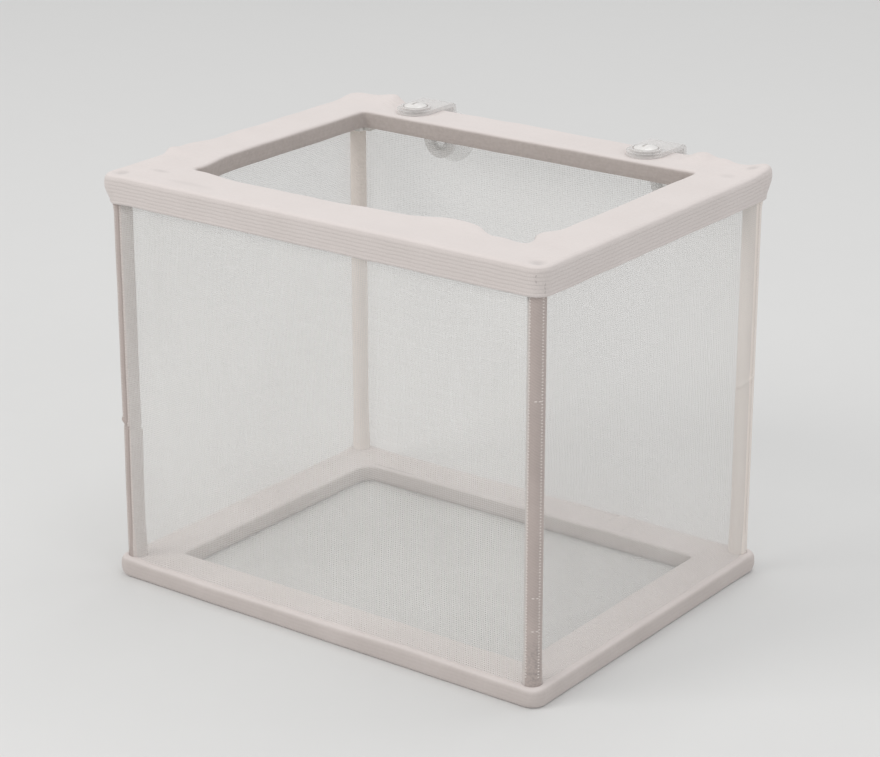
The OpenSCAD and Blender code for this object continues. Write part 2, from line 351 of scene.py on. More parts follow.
class Graph:
    """Short hand for adding and wiring the nodes of one material or node group."""

    def __init__(self, tree: bpy.types.NodeTree) -> None:
        """Work on one node tree."""
        self.tree = tree

    def feed(self, socket: Socket, value: Feed) -> None:
        """Link a socket to another, or set it.

        Args:
            socket: The socket that takes the value.
            value: The socket that gives it, or a number, a vector or a colour.
        """
        if isinstance(value, Socket):
            self.tree.links.new(value, socket)
        else:
            socket.default_value = value

    def node(
        self, kind: str, inputs: dict[int | str, Feed] | None = None, **settings: object
    ) -> bpy.types.Node:
        """Add a node.

        Args:
            kind: Its type.
            inputs: What its inputs take, by name or number.
            settings: Its properties.

        Returns:
            The node.
        """
        node = self.tree.nodes.new(kind)
        for key, value in settings.items():
            setattr(node, key, value)
        for key, value in (inputs or {}).items():
            self.feed(node.inputs[key], value)
        return node

    def math(self, operation: str, *values: Feed, clamp: bool = False) -> Socket:
        """Add a Math node, kept between 0 and 1 if it is clamped."""
        inputs = dict(enumerate(values))
        return self.node("ShaderNodeMath", inputs, operation=operation, use_clamp=clamp).outputs[0]

    def plus(self, a: Feed, b: Feed, clamp: bool = False) -> Socket:
        """Add two values."""
        return self.math("ADD", a, b, clamp=clamp)

    def minus(self, a: Feed, b: Feed) -> Socket:
        """Take the second value from the first."""
        return self.math("SUBTRACT", a, b)

    def times(self, a: Feed, b: Feed, clamp: bool = False) -> Socket:
        """Multiply two values."""
        return self.math("MULTIPLY", a, b, clamp=clamp)

    def over(self, a: Feed, b: Feed, clamp: bool = False) -> Socket:
        """Divide the first value by the second."""
        return self.math("DIVIDE", a, b, clamp=clamp)

    def scaled(self, value: Feed, factor: Feed, offset: Feed, clamp: bool = False) -> Socket:
        """Multiply a value and add to it."""
        return self.math("MULTIPLY_ADD", value, factor, offset, clamp=clamp)

    def vector(self, operation: str, *values: Feed) -> bpy.types.Node:
        """Add a Vector Math node."""
        return self.node("ShaderNodeVectorMath", dict(enumerate(values)), operation=operation)

    def split(self, vector: Feed) -> Sockets:
        """Split a vector in its x, y and z."""
        return self.node("ShaderNodeSeparateXYZ", {0: vector}).outputs

    def mix(self, factor: Feed, low: Feed, high: Feed) -> Socket:
        """Mix two colours, the second the more the higher the factor."""
        return self.node("ShaderNodeMix", {0: factor, 6: low, 7: high}, data_type="RGBA").outputs[2]

    def ramp(self, value: Feed, low: float, high: float) -> Socket:
        """Ease a value from 0 at low to 1 at high."""
        inputs = {0: value, 1: low, 2: high}
        return self.node("ShaderNodeMapRange", inputs, interpolation_type="SMOOTHSTEP").outputs[0]

    def noise(self, place: Feed, scale: Feed, detail: float = 2.0) -> bpy.types.Node:
        """Add a noise texture with so many blotches to the metre."""
        return self.node("ShaderNodeTexNoise", {"Vector": place, "Scale": scale, "Detail": detail})

    def bump(self, height: Feed, strength: float, depth: float) -> Socket:
        """Turn a height into a normal, as deep as depth in millimetres."""
        inputs = {"Height": height, "Strength": strength, "Distance": depth * MM}
        return self.node("ShaderNodeBump", inputs).outputs[0]

    def effect(self, group: bpy.types.NodeTree, **values: Feed) -> Sockets:
        """Place a node group and feed its inputs by name."""
        return self.node("ShaderNodeGroup", values, node_tree=group).outputs


def new_group(
    name: str, inputs: dict[str, str], outputs: dict[str, str]
) -> tuple[Graph, Sockets, Sockets]:
    """Start a shader node group.

    Args:
        name: The group's name.
        inputs: The kind of socket for each named input.
        outputs: The kind of socket for each named output.

    Returns:
        Its graph, the sockets that give its inputs and those that take its outputs.
    """
    tree = bpy.data.node_groups.new(name, "ShaderNodeTree")
    for direction, sockets in (("INPUT", inputs), ("OUTPUT", outputs)):
        for key, kind in sockets.items():
            tree.interface.new_socket(name=key, in_out=direction, socket_type=kind)
    graph = Graph(tree)
    return graph, graph.node("NodeGroupInput").outputs, graph.node("NodeGroupOutput").inputs


class Effects:
    """The node groups that several finishes share, each built once."""

    WANDER_SCALE = 180.0
    RIB_CURVE = 0.6
    KNOT_DEPTH = 0.35
    TONE_CURVE = 0.7
    NET_SHIFT = (0.6, 0.6, 0.0)
    NET_SHIFT_SCALE = 90.0
    THREAD_EDGE = 0.35
    BROAD_SHARE = 0.7
    BROAD_DETAIL = 3.0
    FINE_DETAIL = 4.0
    SMUDGE_CORE = 0.15

    def __init__(self) -> None:
        """Build every group."""
        self.weave = self._weave()
        self.mesh = self._mesh()
        self.mottle = self._mottle()
        self.smudge = self._smudge()

    def _weave(self) -> bpy.types.NodeTree:
        """Ribs of thick thread bound by finer ones that cross them.

        Returns:
            A group that puts out the weave's height and its tone, both from 0 to 1.
        """
        g, given, results = new_group(
            "rib_weave",
            {"Place": VECTOR, "Rib": FLOAT, "Thread": FLOAT, "Wander": FLOAT},
            {"Height": FLOAT, "Tone": FLOAT},
        )
        wave = g.noise(given["Place"], self.WANDER_SCALE).outputs[0]
        drift = g.times(g.minus(wave, 0.5), given["Wander"])
        along, up, _ = g.split(given["Place"])
        across = g.plus(g.over(up, given["Rib"]), drift)
        wave = g.math("SINE", g.times(across, math.pi))
        rib = g.math("POWER", g.math("ABSOLUTE", wave), self.RIB_CURVE)
        turn = g.times(g.over(along, given["Thread"]), 2 * math.pi)
        turn = g.plus(turn, g.times(g.math("FLOOR", across), math.pi))
        knot = g.scaled(g.math("SINE", turn), 0.5, 0.5)
        height = g.times(rib, g.scaled(knot, self.KNOT_DEPTH, 1 - self.KNOT_DEPTH))
        g.feed(results["Height"], height)
        g.feed(results["Tone"], g.math("POWER", height, self.TONE_CURVE))
        return g.tree

    def _mesh(self) -> bpy.types.NodeTree:
        """Square meshes of fine netting.

        Returns:
            A group that puts out 1 on a thread and 0 in a hole.
        """
        g, given, results = new_group(
            "net_mesh",
            {"Place": VECTOR, "Pitch": FLOAT, "Thread": FLOAT},
            {"Thread": FLOAT, "Height": FLOAT},
        )
        shift = g.noise(given["Place"], self.NET_SHIFT_SCALE).outputs["Color"]
        moved = g.vector("MULTIPLY_ADD", shift, metres(self.NET_SHIFT), given["Place"]).outputs[0]
        share = g.over(given["Thread"], given["Pitch"])
        lines = []
        for run in tuple(g.split(moved))[:2]:
            cell = g.math("FRACT", g.over(run, given["Pitch"]))
            edge = g.times(g.math("ABSOLUTE", g.minus(cell, 0.5)), 2.0)
            lines.append(g.over(g.minus(edge, g.minus(1.0, share)), share, clamp=True))
        height = g.math("MAXIMUM", *lines)
        g.feed(results["Height"], height)
        g.feed(results["Thread"], g.ramp(height, 0.0, self.THREAD_EDGE))
        return g.tree

    def _mottle(self) -> bpy.types.NodeTree:
        """Broad and fine unevenness of a surface.

        Returns:
            A group that puts out a value round 0.5, and the fine part alone.
        """
        g, given, results = new_group(
            "mottle",
            {"Place": VECTOR, "Broad": FLOAT, "Fine": FLOAT},
            {"Value": FLOAT, "Grain": FLOAT},
        )
        broad = g.noise(given["Place"], given["Broad"], self.BROAD_DETAIL).outputs[0]
        fine = g.noise(given["Place"], given["Fine"], self.FINE_DETAIL).outputs[0]
        value = g.plus(g.times(broad, self.BROAD_SHARE), g.times(fine, 1 - self.BROAD_SHARE))
        g.feed(results["Value"], value)
        g.feed(results["Grain"], fine)
        return g.tree

    def _smudge(self) -> bpy.types.NodeTree:
        """A soft spot round one place.

        Returns:
            A group that puts out 1 in the spot's middle and 0 outside its reach.
        """
        g, given, results = new_group(
            "smudge",
            {"Place": VECTOR, "Middle": VECTOR, "Reach": VECTOR},
            {"Mask": FLOAT},
        )
        away = g.vector("SUBTRACT", given["Place"], given["Middle"]).outputs[0]
        ratio = g.vector("DIVIDE", away, given["Reach"]).outputs[0]
        length = g.vector("LENGTH", ratio).outputs["Value"]
        g.feed(results["Mask"], g.ramp(length, 1.0, self.SMUDGE_CORE))
        return g.tree


# --- finishes --------------------------------------------------------------------------


@dataclass(frozen=True)
class ShadeSpot:
    """A spot of painted shade on cloth: its middle and reach in millimetres, and its depth."""

    middle: tuple[float, float, float]
    reach: tuple[float, float, float]
    depth: float


class MaterialGraph(Graph):
    """The graph of one material, with the shared effects at hand."""

    def __init__(self, material: bpy.types.Material, effects: Effects) -> None:
        """Open a material's graph.

        Args:
            material: The material, which has its Principled BSDF.
            effects: The shared node groups.
        """
        super().__init__(material.node_tree)
        self.effects = effects
        self.surface = material.node_tree.nodes["Principled BSDF"].inputs
        self.place = self.node("ShaderNodeTexCoord").outputs["Object"]

    def cloth_place(self) -> Socket:
        """Places on the cloth map."""
        return self.node("ShaderNodeUVMap", uv_map=CLOTH_MAP).outputs[0]

    def mottle(self, broad: float, fine: float, place: Feed | None = None) -> Sockets:
        """Place the mottle, on the object's own places unless others are given."""
        place = self.place if place is None else place
        return self.effect(self.effects.mottle, Place=place, Broad=broad, Fine=fine)

    def weave(self, place: Feed, rib: float, thread: float, wander: float) -> Sockets:
        """Place the weave, its rib and thread in millimetres."""
        rib, thread = metres((rib, thread))
        return self.effect(self.effects.weave, Place=place, Rib=rib, Thread=thread, Wander=wander)

    def paint_shade(self, colour: Feed, spots: Sequence[ShadeSpot], tint: Rgb, ragged: Feed) -> Socket:
        """Lay soft spots of painted shade over a colour.

        Args:
            colour: The colour so far.
            spots: The spots.
            tint: Their colour.
            ragged: A value that breaks them up.

        Returns:
            The stained colour.
        """
        for spot in spots:
            middle, reach = metres(spot.middle), metres(spot.reach)
            mask = self.effect(self.effects.smudge, Place=self.place, Middle=middle, Reach=reach)["Mask"]
            depth = self.times(self.times(mask, ragged), spot.depth, clamp=True)
            colour = self.mix(depth, colour, rgba(tint))
        return colour

    def finish(self, values: dict[str, Feed]) -> None:
        """Feed the shader's inputs by name."""
        for key, value in values.items():
            self.feed(self.surface[key], value)


class Finish(ABC):
    """What a piece is made of. Each kind holds its colours and wires its own nodes.

    In every kind, mottle holds the broad and the fine blotches to the metre, rough holds how much
    the roughness swings and where it starts, and bump holds the relief's strength and its depth
    in millimetres.
    """

    name: str

    def material(self, effects: Effects) -> bpy.types.Material:
        """Build the material.

        Args:
            effects: The shared node groups.

        Returns:
            The finished material.
        """
        material = bpy.data.materials.new(self.name)
        material.use_nodes = True
        self.wire(MaterialGraph(material, effects))
        return material

    @abstractmethod
    def wire(self, g: MaterialGraph) -> None:
        """Wire the material's nodes.

        Args:
            g: Its graph.
        """


@dataclass(frozen=True)
class ClothFinish(Finish):
    """Woven cloth of white polyester, ribbed on its outer band and plain where it is folded in, with
    painted shade on the inner fold and in spots.
    """

    name: str
    light: Rgb
    deep: Rgb
    # fold: the colour of painted shade on the upright inner fold
    fold: Rgb
    relief: float
    top_relief: float
    band_tone: float
    contrast: float = 0.24
    rib: float = 1.15
    thread: float = 0.7
    wander: float = 0.5
    mottle: tuple[float, float] = (60.0, 900.0)
    level_and_upright: tuple[float, float] = (0.9, 0.3)
    band_inner: float = 4.5
    band_outer: float = 2.5
    band_mottle: float = 0.5
    mean_weave: float = 0.75
    plain_tone: tuple[float, float] = (0.45, 0.58)
    fold_shade_cover: tuple[float, float] = (0.4, 0.7)
    grain_relief: float = 0.12
    rough: tuple[float, float] = (-0.12, 0.93)
    bump: tuple[float, float] = (1.0, 0.35)
    # spots: painted shade laid over the cloth in the spot_shade_colour
    spots: tuple[ShadeSpot, ...] = ()
    spot_cover: tuple[float, float] = (0.8, 0.4)
    spot_shade_colour: Rgb = (0.36, 0.34, 0.33)
    specular: float = 0.25
    sheen: float = 0.25
    sheen_rough: float = 0.45

    def _outer_band(self, g: MaterialGraph) -> Socket:
        """Tell the outer band from the rest.

        Args:
            g: The material's graph.

        Returns:
            A mask that is 1 near the box's outer faces and 0 further in.
        """
        halves = (BOX_LENGTH / 2 * MM, BOX_WIDTH / 2 * MM)
        depths = [g.minus(g.math("ABSOLUTE", run), half) for run, half in zip(g.split(g.place), halves)]
        return g.ramp(g.math("MAXIMUM", *depths), -self.band_inner * MM, -self.band_outer * MM)

    def wire(self, g: MaterialGraph) -> None:
        """Wire the ribs, the plain cloth, the painted shade on the inner fold and the painted shade spots.

        Args:
            g: The material's graph.
        """
        weave = g.weave(g.cloth_place(), self.rib, self.thread, self.wander)
        mottle = g.mottle(*self.mottle)
        facing_up = g.split(g.node("ShaderNodeNewGeometry").outputs["Normal"])[2]
        upright = g.ramp(g.math("ABSOLUTE", facing_up), *self.level_and_upright)
        outer = self._outer_band(g)
        ribbed = g.times(upright, outer)
        relief = g.scaled(ribbed, self.relief - self.top_relief, self.top_relief)
        tone = g.plus(g.times(weave["Tone"], self.contrast), g.times(mottle["Value"], self.band_mottle))
        tone = g.plus(tone, self.band_tone - self.band_mottle / 2 - self.mean_weave * self.contrast)
        plain_tone = g.scaled(mottle["Value"], *self.plain_tone)
        level = g.plus(g.times(tone, ribbed), g.times(plain_tone, g.minus(1.0, ribbed)), clamp=True)
        colour = g.mix(level, rgba(self.deep), rgba(self.light))
        # Painted shade: upright cloth inside the outer band is darkened towards the fold colour.
        inner_fold_shade = g.times(upright, g.minus(1.0, outer))
        inner_fold_shade = g.times(inner_fold_shade, g.scaled(mottle["Grain"], *self.fold_shade_cover), clamp=True)
        colour = g.mix(inner_fold_shade, colour, rgba(self.fold))
        # Painted shade spots: shade in shallow dents and in the dimples over the posts.
        if self.spots:
            ragged = g.scaled(mottle["Grain"], *self.spot_cover)
            colour = g.paint_shade(colour, self.spots, self.spot_shade_colour, ragged)
        height = g.plus(g.times(weave["Height"], relief), g.times(mottle["Grain"], self.grain_relief))
        g.finish({
            "Base Color": colour,
            "Roughness": g.scaled(weave["Height"], *self.rough),
            "Normal": g.bump(height, *self.bump),
            "Specular IOR Level": self.specular,
            "Sheen Weight": self.sheen,
            "Sheen Roughness": self.sheen_rough,
        })


@dataclass(frozen=True)
class NetFinish(Finish):
    """Fine white netting, see-through between its thin threads."""

    name: str = "fine_netting"
    colour: Rgb = (0.90, 0.885, 0.865)
    shade: Rgb = (0.82, 0.805, 0.785)
    pitch: float = 0.65
    thread: float = 0.15
    film: float = 0.14
    cover: float = 0.6
    mottle: tuple[float, float] = (28.0, 420.0)
    rough: tuple[float, float] = (0.2, 0.5)
    bump: tuple[float, float] = (0.6, 0.12)
    specular: float = 0.35

    def wire(self, g: MaterialGraph) -> None:
        """Wire the open meshes and the film of scattered light over them.

        Args:
            g: The material's graph.
        """
        pitch, thread = metres((self.pitch, self.thread))
        mesh = g.effect(g.effects.mesh, Place=g.cloth_place(), Pitch=pitch, Thread=thread)
        mottle = g.mottle(*self.mottle)
        film = g.times(mottle["Value"], 2.0 * self.film)
        g.finish({
            "Base Color": g.mix(mottle["Value"], rgba(self.shade), rgba(self.colour)),
            "Alpha": g.scaled(mesh["Thread"], self.cover, film, clamp=True),
            "Roughness": g.scaled(mottle["Grain"], *self.rough),
            "Normal": g.bump(mesh["Height"], *self.bump),
            "Specular IOR Level": self.specular,
        })


@dataclass(frozen=True)
class TapeFinish(Finish):
    """Narrow twill tape on a sleeve of paler cloth, greyest at the front and palest at the back, the
    paleness at the back being painted light, with painted shade at the feet of three tapes.
    """

    name: str = "twill_tape"
    light: Rgb = (0.53, 0.458, 0.43)
    deep: Rgb = (0.37, 0.315, 0.295)
    # pale: painted light; the tapes at the back are painted this paler colour
    pale: Rgb = (0.84, 0.775, 0.725)
    beside: Rgb = (0.625, 0.575, 0.55)
    twill: float = 0.75
    twill_turn: float = 32.0
    thread: float = 0.55
    wander: float = 0.3
    mottle: tuple[float, float] = (90.0, 1100.0)
    weave_share: float = 0.35
    mottle_share: float = 0.85
    band_edge: tuple[float, float] = (2.6, 2.85)
    weave_relief: float = 0.4
    grain_relief: float = 0.2
    rough: tuple[float, float] = (-0.1, 0.88)
    bump: tuple[float, float] = (0.9, 0.3)
    back_light_slant: float = -0.4
    back_light_half: float = 30.0
    # Painted shade at the feet of three tapes.
    spots: tuple[ShadeSpot, ...] = (
        ShadeSpot((79.9, -60.9, 12), (4.5, 4.5, 13), 0.64),
        ShadeSpot((-79.9, -60.9, 8), (4.5, 4.5, 5), 0.48),
        ShadeSpot((79.9, 60.9, 8), (4.5, 4.5, 5), 0.48),
    )
    spot_shade_colour: Rgb = (0.27, 0.245, 0.235)
    spot_grain: tuple[float, float] = (0.35, 0.75)
    specular: float = 0.25
    sheen: float = 0.2
    sheen_rough: float = 0.4

    def wire(self, g: MaterialGraph) -> None:
        """Wire the twill, the cloth beside it, the painted light that makes the tapes at the back paler and
        the painted shade spots at the feet.

        Args:
            g: The material's graph.
        """
        threads = g.cloth_place()
        turn = (0.0, 0.0, math.radians(self.twill_turn))
        slant = g.node("ShaderNodeMapping", {"Vector": threads, "Rotation": turn})
        weave = g.weave(slant.outputs[0], self.twill, self.thread, self.wander)
        mottle = g.mottle(*self.mottle)
        twill_tone = g.times(weave["Tone"], self.weave_share)
        level = g.plus(twill_tone, g.times(mottle["Value"], self.mottle_share), clamp=True)
        colour = g.mix(level, rgba(self.deep), rgba(self.light))
        off_band = g.ramp(g.math("ABSOLUTE", g.split(threads)[0]), *metres(self.band_edge))
        colour = g.mix(off_band, colour, rgba(self.beside))
        # Painted light: the colour turns paler towards the back.
        x, y, _ = g.split(g.place)
        backward = g.scaled(x, self.back_light_slant, y)
        fade = g.ramp(backward, *metres((-self.back_light_half, self.back_light_half)))
        colour = g.mix(fade, colour, rgba(self.pale))
        # Painted shade spots at the tapes' feet.
        ragged = g.ramp(mottle["Grain"], *self.spot_grain)
        colour = g.paint_shade(colour, self.spots, self.spot_shade_colour, ragged)
        twill_height = g.times(weave["Height"], self.weave_relief)
        height = g.plus(twill_height, g.times(mottle["Grain"], self.grain_relief))
        g.finish({
            "Base Color": colour,
            "Roughness": g.scaled(weave["Height"], *self.rough),
            "Normal": g.bump(height, *self.bump),
            "Specular IOR Level": self.specular,
            "Sheen Weight": self.sheen,
            "Sheen Roughness": self.sheen_rough,
        })


@dataclass(frozen=True)
class ThreadFinish(Finish):
    """Twisted sewing thread."""

    name: str
    light: Rgb
    deep: Rgb
    mottle: tuple[float, float] = (400.0, 4000.0)
    rough: tuple[float, float] = (0.2, 0.6)
    bump: tuple[float, float] = (0.5, 0.1)

    def wire(self, g: MaterialGraph) -> None:
        """Wire the thread's fine twist.

        Args:
            g: The material's graph.
        """
        mottle = g.mottle(*self.mottle)
        g.finish({
            "Base Color": g.mix(mottle["Value"], rgba(self.deep), rgba(self.light)),
            "Roughness": g.scaled(mottle["Grain"], *self.rough),
            "Normal": g.bump(mottle["Grain"], *self.bump),
        })


@dataclass(frozen=True)
class MouldedFinish(Finish):
    """Moulded white plastic with a fine satin grain and faint flow marks."""

    name: str = "moulded_white"
    light: Rgb = (0.78, 0.76, 0.73)
    deep: Rgb = (0.64, 0.62, 0.59)
    stretch: tuple[float, float, float] = (1.0, 1.0, 0.12)
    flow: tuple[float, float] = (160.0, 900.0)
    mottle: tuple[float, float] = (70.0, 3200.0)
    tone_share: float = 0.6
    height_share: float = 0.5
    rough: tuple[float, float] = (0.22, 0.3)
    bump: tuple[float, float] = (0.35, 0.15)

    def wire(self, g: MaterialGraph) -> None:
        """Wire the upright flow marks and the grain.

        Args:
            g: The material's graph.
        """
        stretched = g.node("ShaderNodeMapping", {"Vector": g.place, "Scale": self.stretch}).outputs[0]
        flow = g.mottle(*self.flow, stretched)
        grain = g.mottle(*self.mottle)
        tones = (g.times(marks["Value"], self.tone_share) for marks in (flow, grain))
        level = g.plus(*tones, clamp=True)
        raised = g.times(grain["Grain"], self.height_share)
        height = g.plus(raised, g.times(flow["Value"], self.height_share))
        g.finish({
            "Base Color": g.mix(level, rgba(self.deep), rgba(self.light)),
            "Roughness": g.scaled(flow["Grain"], *self.rough),
            "Normal": g.bump(height, *self.bump),
        })


@dataclass(frozen=True)
class ClearFinish(Finish):
    """Clear or milky moulded plastic or vinyl, thin enough to let light straight through."""

    name: str
    tint: Rgb
    body: float
    rim: float
    rough: float
    cloud: float = 0.12
    mottle: tuple[float, float] = (120.0, 700.0)
    fade: float = 0.9
    rim_blend: float = 0.4
    rim_power: float = 2.0
    rough_swing: float = 0.18
    bump: tuple[float, float] = (0.25, 0.4)
    specular: float = 0.8
    coat: float = 0.6
    coat_rough: float = 0.06

    def wire(self, g: MaterialGraph) -> None:
        """Wire the cloudy body and the denser rim.

        Args:
            g: The material's graph.
        """
        mottle = g.mottle(*self.mottle)
        faded = tuple(v * self.fade for v in self.tint)
        facing = g.node("ShaderNodeLayerWeight", {"Blend": self.rim_blend}).outputs["Facing"]
        edge = g.times(g.math("POWER", facing, self.rim_power), self.rim)
        cloudy = g.scaled(mottle["Value"], self.cloud, self.body - self.cloud / 2)
        g.finish({
            "Base Color": g.mix(mottle["Value"], rgba(faded), rgba(self.tint)),
            "Roughness": g.scaled(mottle["Value"], self.rough_swing, self.rough),
            "Normal": g.bump(mottle["Value"], *self.bump),
            "Alpha": g.plus(edge, cloudy, clamp=True),
            "Specular IOR Level": self.specular,
            "Coat Weight": self.coat,
            "Coat Roughness": self.coat_rough,
        })


@dataclass(frozen=True)
class FloorFinish(Finish):
    """Plain pale studio floor."""

    name: str = "studio_floor"
    light: Rgb = (0.735, 0.735, 0.73)
    deep: Rgb = (0.705, 0.705, 0.70)
    mottle: tuple[float, float] = (3.0, 60.0)
    rough: tuple[float, float] = (0.1, 0.8)
    specular: float = 0.2

    def wire(self, g: MaterialGraph) -> None:
        """Wire the floor's faint unevenness.

        Args:
            g: The material's graph.
        """
        mottle = g.mottle(*self.mottle)
        g.finish({
            "Base Color": g.mix(mottle["Value"], rgba(self.deep), rgba(self.light)),
            "Roughness": g.scaled(mottle["Grain"], *self.rough),
            "Specular IOR Level": self.specular,
        })


# --- the box's sides and corners, and local shaping --------------------------------------


class Named(Enum):
    """An option whose name is a part of its pieces' names."""

    @property
    def label(self) -> str:
        """The option's part of a piece's name."""
        return self.name.lower()


class Side(Named):
    """The four sides of the box, with the direction that each runs in, seen from above."""

    FRONT = (1.0, 0.0)
    RIGHT = (0.0, 1.0)
    BACK = (-1.0, 0.0)
    LEFT = (0.0, -1.0)

    @property
    def along(self) -> np.ndarray:
        """Unit vector along the side, the box on its left."""
        return np.array(self.value)

    @property
    def out(self) -> np.ndarray:
        """Unit vector out of the box."""
        x, y = self.value
        return np.array((y, -x))

    @property
    def run(self) -> float:
        """The box's size along the side."""
        return BOX_LENGTH if self.value[0] else BOX_WIDTH

    @property
    def depth(self) -> float:
        """The box's size square to the side."""
        return BOX_WIDTH if self.value[0] else BOX_LENGTH


class Corner(Named):
    """The four corners of the box, with the signs of their x and y."""

    FRONT_RIGHT = (1, -1)
    BACK_RIGHT = (1, 1)
    BACK_LEFT = (-1, 1)
    FRONT_LEFT = (-1, -1)

    @property
    def post(self) -> tuple[float, float]:
        """Where the corner's post stands, seen from above."""
        sx, sy = self.value
        return sx * (BOX_LENGTH / 2 - POST_IN), sy * (BOX_WIDTH / 2 - POST_IN)

    @property
    def out(self) -> np.ndarray:
        """Unit vector out of the corner, along its diagonal."""
        return np.array((*self.value, 0)) / math.sqrt(2)

    def radial(self, turns: np.ndarray) -> tuple[np.ndarray, np.ndarray]:
        """The x and y of unit vectors at angles from the corner's diagonal, in degrees."""
        angle = math.atan2(self.value[1], self.value[0]) + np.radians(turns)
        return np.cos(angle), np.sin(angle)


@dataclass(frozen=True)
class Pucker:
    """A place where cloth is pushed off its plain shape, fading round its middle."""

    middle: tuple[float, float, float]
    reach: tuple[float, float, float]
    push: tuple[float, float, float]

    def shift(self, points: np.ndarray) -> np.ndarray:
        """Give the shift of each of some places in millimetres, one a row."""
        away = (points - np.array(self.middle)) / np.array(self.reach)
        return np.exp(-(away**2).sum(axis=1))[:, None] * np.array(self.push)


@dataclass(frozen=True)
class Outline:
    """The box's outline and its offsets, cut at stations that match from one to the next."""

    corner: float = 5.0
    step: float = 1.1
    arc_steps: int = 12

    def ring(self, inset: float, radii: Sequence[float]) -> np.ndarray:
        """Points of an offset outline, counter-clockwise from the front's left end.

        Args:
            inset: How far it lies inside the box's outer faces.
            radii: Its corner radii in the order of Corner.

        Returns:
            One row of x and y for each station.
        """
        ends = np.array((BOX_LENGTH / 2, BOX_WIDTH / 2)) - inset
        points = []
        for k, (side, corner) in enumerate(zip(Side, Corner)):
            before, after = radii[k - 1], radii[k]
            half, far = side.run / 2 - inset, side.depth / 2 - inset
            count = round(side.run / self.step)
            for t in np.arange(count) / count:
                place = -half + before + t * (2 * half - before - after)
                points.append(side.along * place + side.out * far)
            middle = np.array(corner.value) * (ends - after)
            for t in np.arange(self.arc_steps) / self.arc_steps * math.pi / 2:
                points.append(middle + after * (side.out * math.cos(t) + side.along * math.sin(t)))
        return np.array(points)

    def station_sides(self) -> list[Side]:
        """Share the outline out among the sides.

        Returns:
            The side that the cloth between each station and the next belongs to.
        """
        sides = []
        order = list(Side)
        for side, following in zip(order, order[1:] + order[:1]):
            sides += [side] * (round(side.run / self.step) + self.arc_steps // 2)
            sides += [following] * (self.arc_steps - self.arc_steps // 2)
        return sides


@dataclass(frozen=True)
class RingCloth:
    """Cloth folded round a frame: one section carried all the way round the box."""

    name: str
    path: tuple[tuple[float, float], ...]
    reach: float
    thickness: float
    inner_radii: tuple[float, float, float, float]
    puckers: tuple[Pucker, ...]
    slack: float
    seed: float
    outline: Outline = Outline()
    step: float = 1.4
    wave: float = 11.0
    least_radius: float = 1.2
    inner_from: float = 8.0
    inner_growth: float = 2.0

    def _radii(self, inset: float) -> list[float]:
        """Corner radii of the offset outline at an inset.

        Args:
            inset: How far the outline lies inside the box's outer faces.

        Returns:
            The radii in the order of Corner.
        """
        if inset < self.inner_from:
            return [max(self.outline.corner - inset, self.least_radius)] * len(Corner)
        return [min(r + max(self.reach - inset, 0.0), r + self.inner_growth) for r in self.inner_radii]

    def _outward(self, points: np.ndarray) -> np.ndarray:
        """Unit vectors out of the cloth's outer face, the same through its thickness.

        Args:
            points: The cloth's points, by station and by place on the section.

        Returns:
            One vector for each point.
        """
        outer = len(spread(self.path, self.step))
        across = np.gradient(points[:, :outer], axis=1)
        ahead = np.roll(points[:, :outer], -1, axis=0) - np.roll(points[:, :outer], 1, axis=0)
        normal = np.cross(ahead, across)
        normal /= np.linalg.norm(normal, axis=2)[:, :, None]
        caps = (points.shape[1] - 2 * outer) // 2
        last, first = normal[:, -1:], normal[:, :1]
        return np.concatenate((normal, *[last] * caps, normal[:, ::-1], *[first] * caps), axis=1)

    def build(self, free: Callable[[np.ndarray], np.ndarray]) -> bpy.types.Object:
        """Carry the section round the box and shape it.

        Args:
            free: Gives, for each point, how freely the cloth may lift there, from 0 to 1.

        Returns:
            The cloth as one closed mesh, with its cloth map.
        """
        section, along = thicken(spread(self.path, self.step), self.thickness)
        rings = np.array([self.outline.ring(inset, self._radii(inset)) for inset, _ in section])
        count, stations, _ = rings.shape
        heights = np.tile(section[:, 1], (stations, 1))
        points = np.concatenate((rings.transpose(1, 0, 2), heights[:, :, None]), axis=2)
        flat = points.reshape(-1, 3)
        lift = sum(p.shift(flat) for p in self.puckers)
        outward = self._outward(points).reshape(-1, 3)
        loose = ripple(flat, self.wave, self.seed) ** 2 * self.slack
        flat = flat + (lift + outward * loose[:, None]) * free(flat)[:, None]
        faces, corners = [], []
        for i, side in enumerate(self.outline.station_sides()):
            for j in range(count):
                face = [i * count + j, i * count + (j + 1) % count]
                face += [(v + count) % (stations * count) for v in reversed(face)]
                faces.append(face)
                corners += [(flat[v, :2] @ side.along, along[v % count]) for v in face]
        ob = mesh_piece(self.name, flat, faces)
        write_map(ob, np.array(corners))
        face_outwards(ob)
        smooth(ob, SHARP_FOLD)
        return ob


@dataclass(frozen=True)
class Holes:
    """Round holes punched through cloth that lies level."""

    places: tuple[tuple[float, float], ...]
    radius: float
    height: float
    depth: float = 4.0
    sides: int = 40
    merge: float = 0.02
    sliver: float = 0.01

    def punch(self, ob: bpy.types.Object) -> None:
        """Cut the holes through a piece and clear the slivers that the cuts leave.

        Args:
            ob: The piece.
        """
        for x, y in self.places:
            deselect_all()
            bpy.ops.mesh.primitive_cylinder_add(
                vertices=self.sides, radius=self.radius * MM, depth=self.depth * MM,
                location=metres((x, y, self.height)),
            )
            cutter = bpy.context.active_object
            make_active(ob)
            cut = ob.modifiers.new("hole", "BOOLEAN")
            cut.operation, cut.solver, cut.object = "DIFFERENCE", "EXACT", cutter
            bpy.ops.object.modifier_apply(modifier=cut.name)
            bpy.data.objects.remove(cutter)
        with edit_mode(ob):
            bpy.ops.mesh.remove_doubles(threshold=self.merge * MM)
            bpy.ops.mesh.dissolve_degenerate(threshold=self.sliver * MM)
            bpy.ops.mesh.select_all(action="SELECT")
            bpy.ops.mesh.quads_convert_to_tris(quad_method="BEAUTY", ngon_method="BEAUTY")


# --- sewing ----------------------------------------------------------------------------


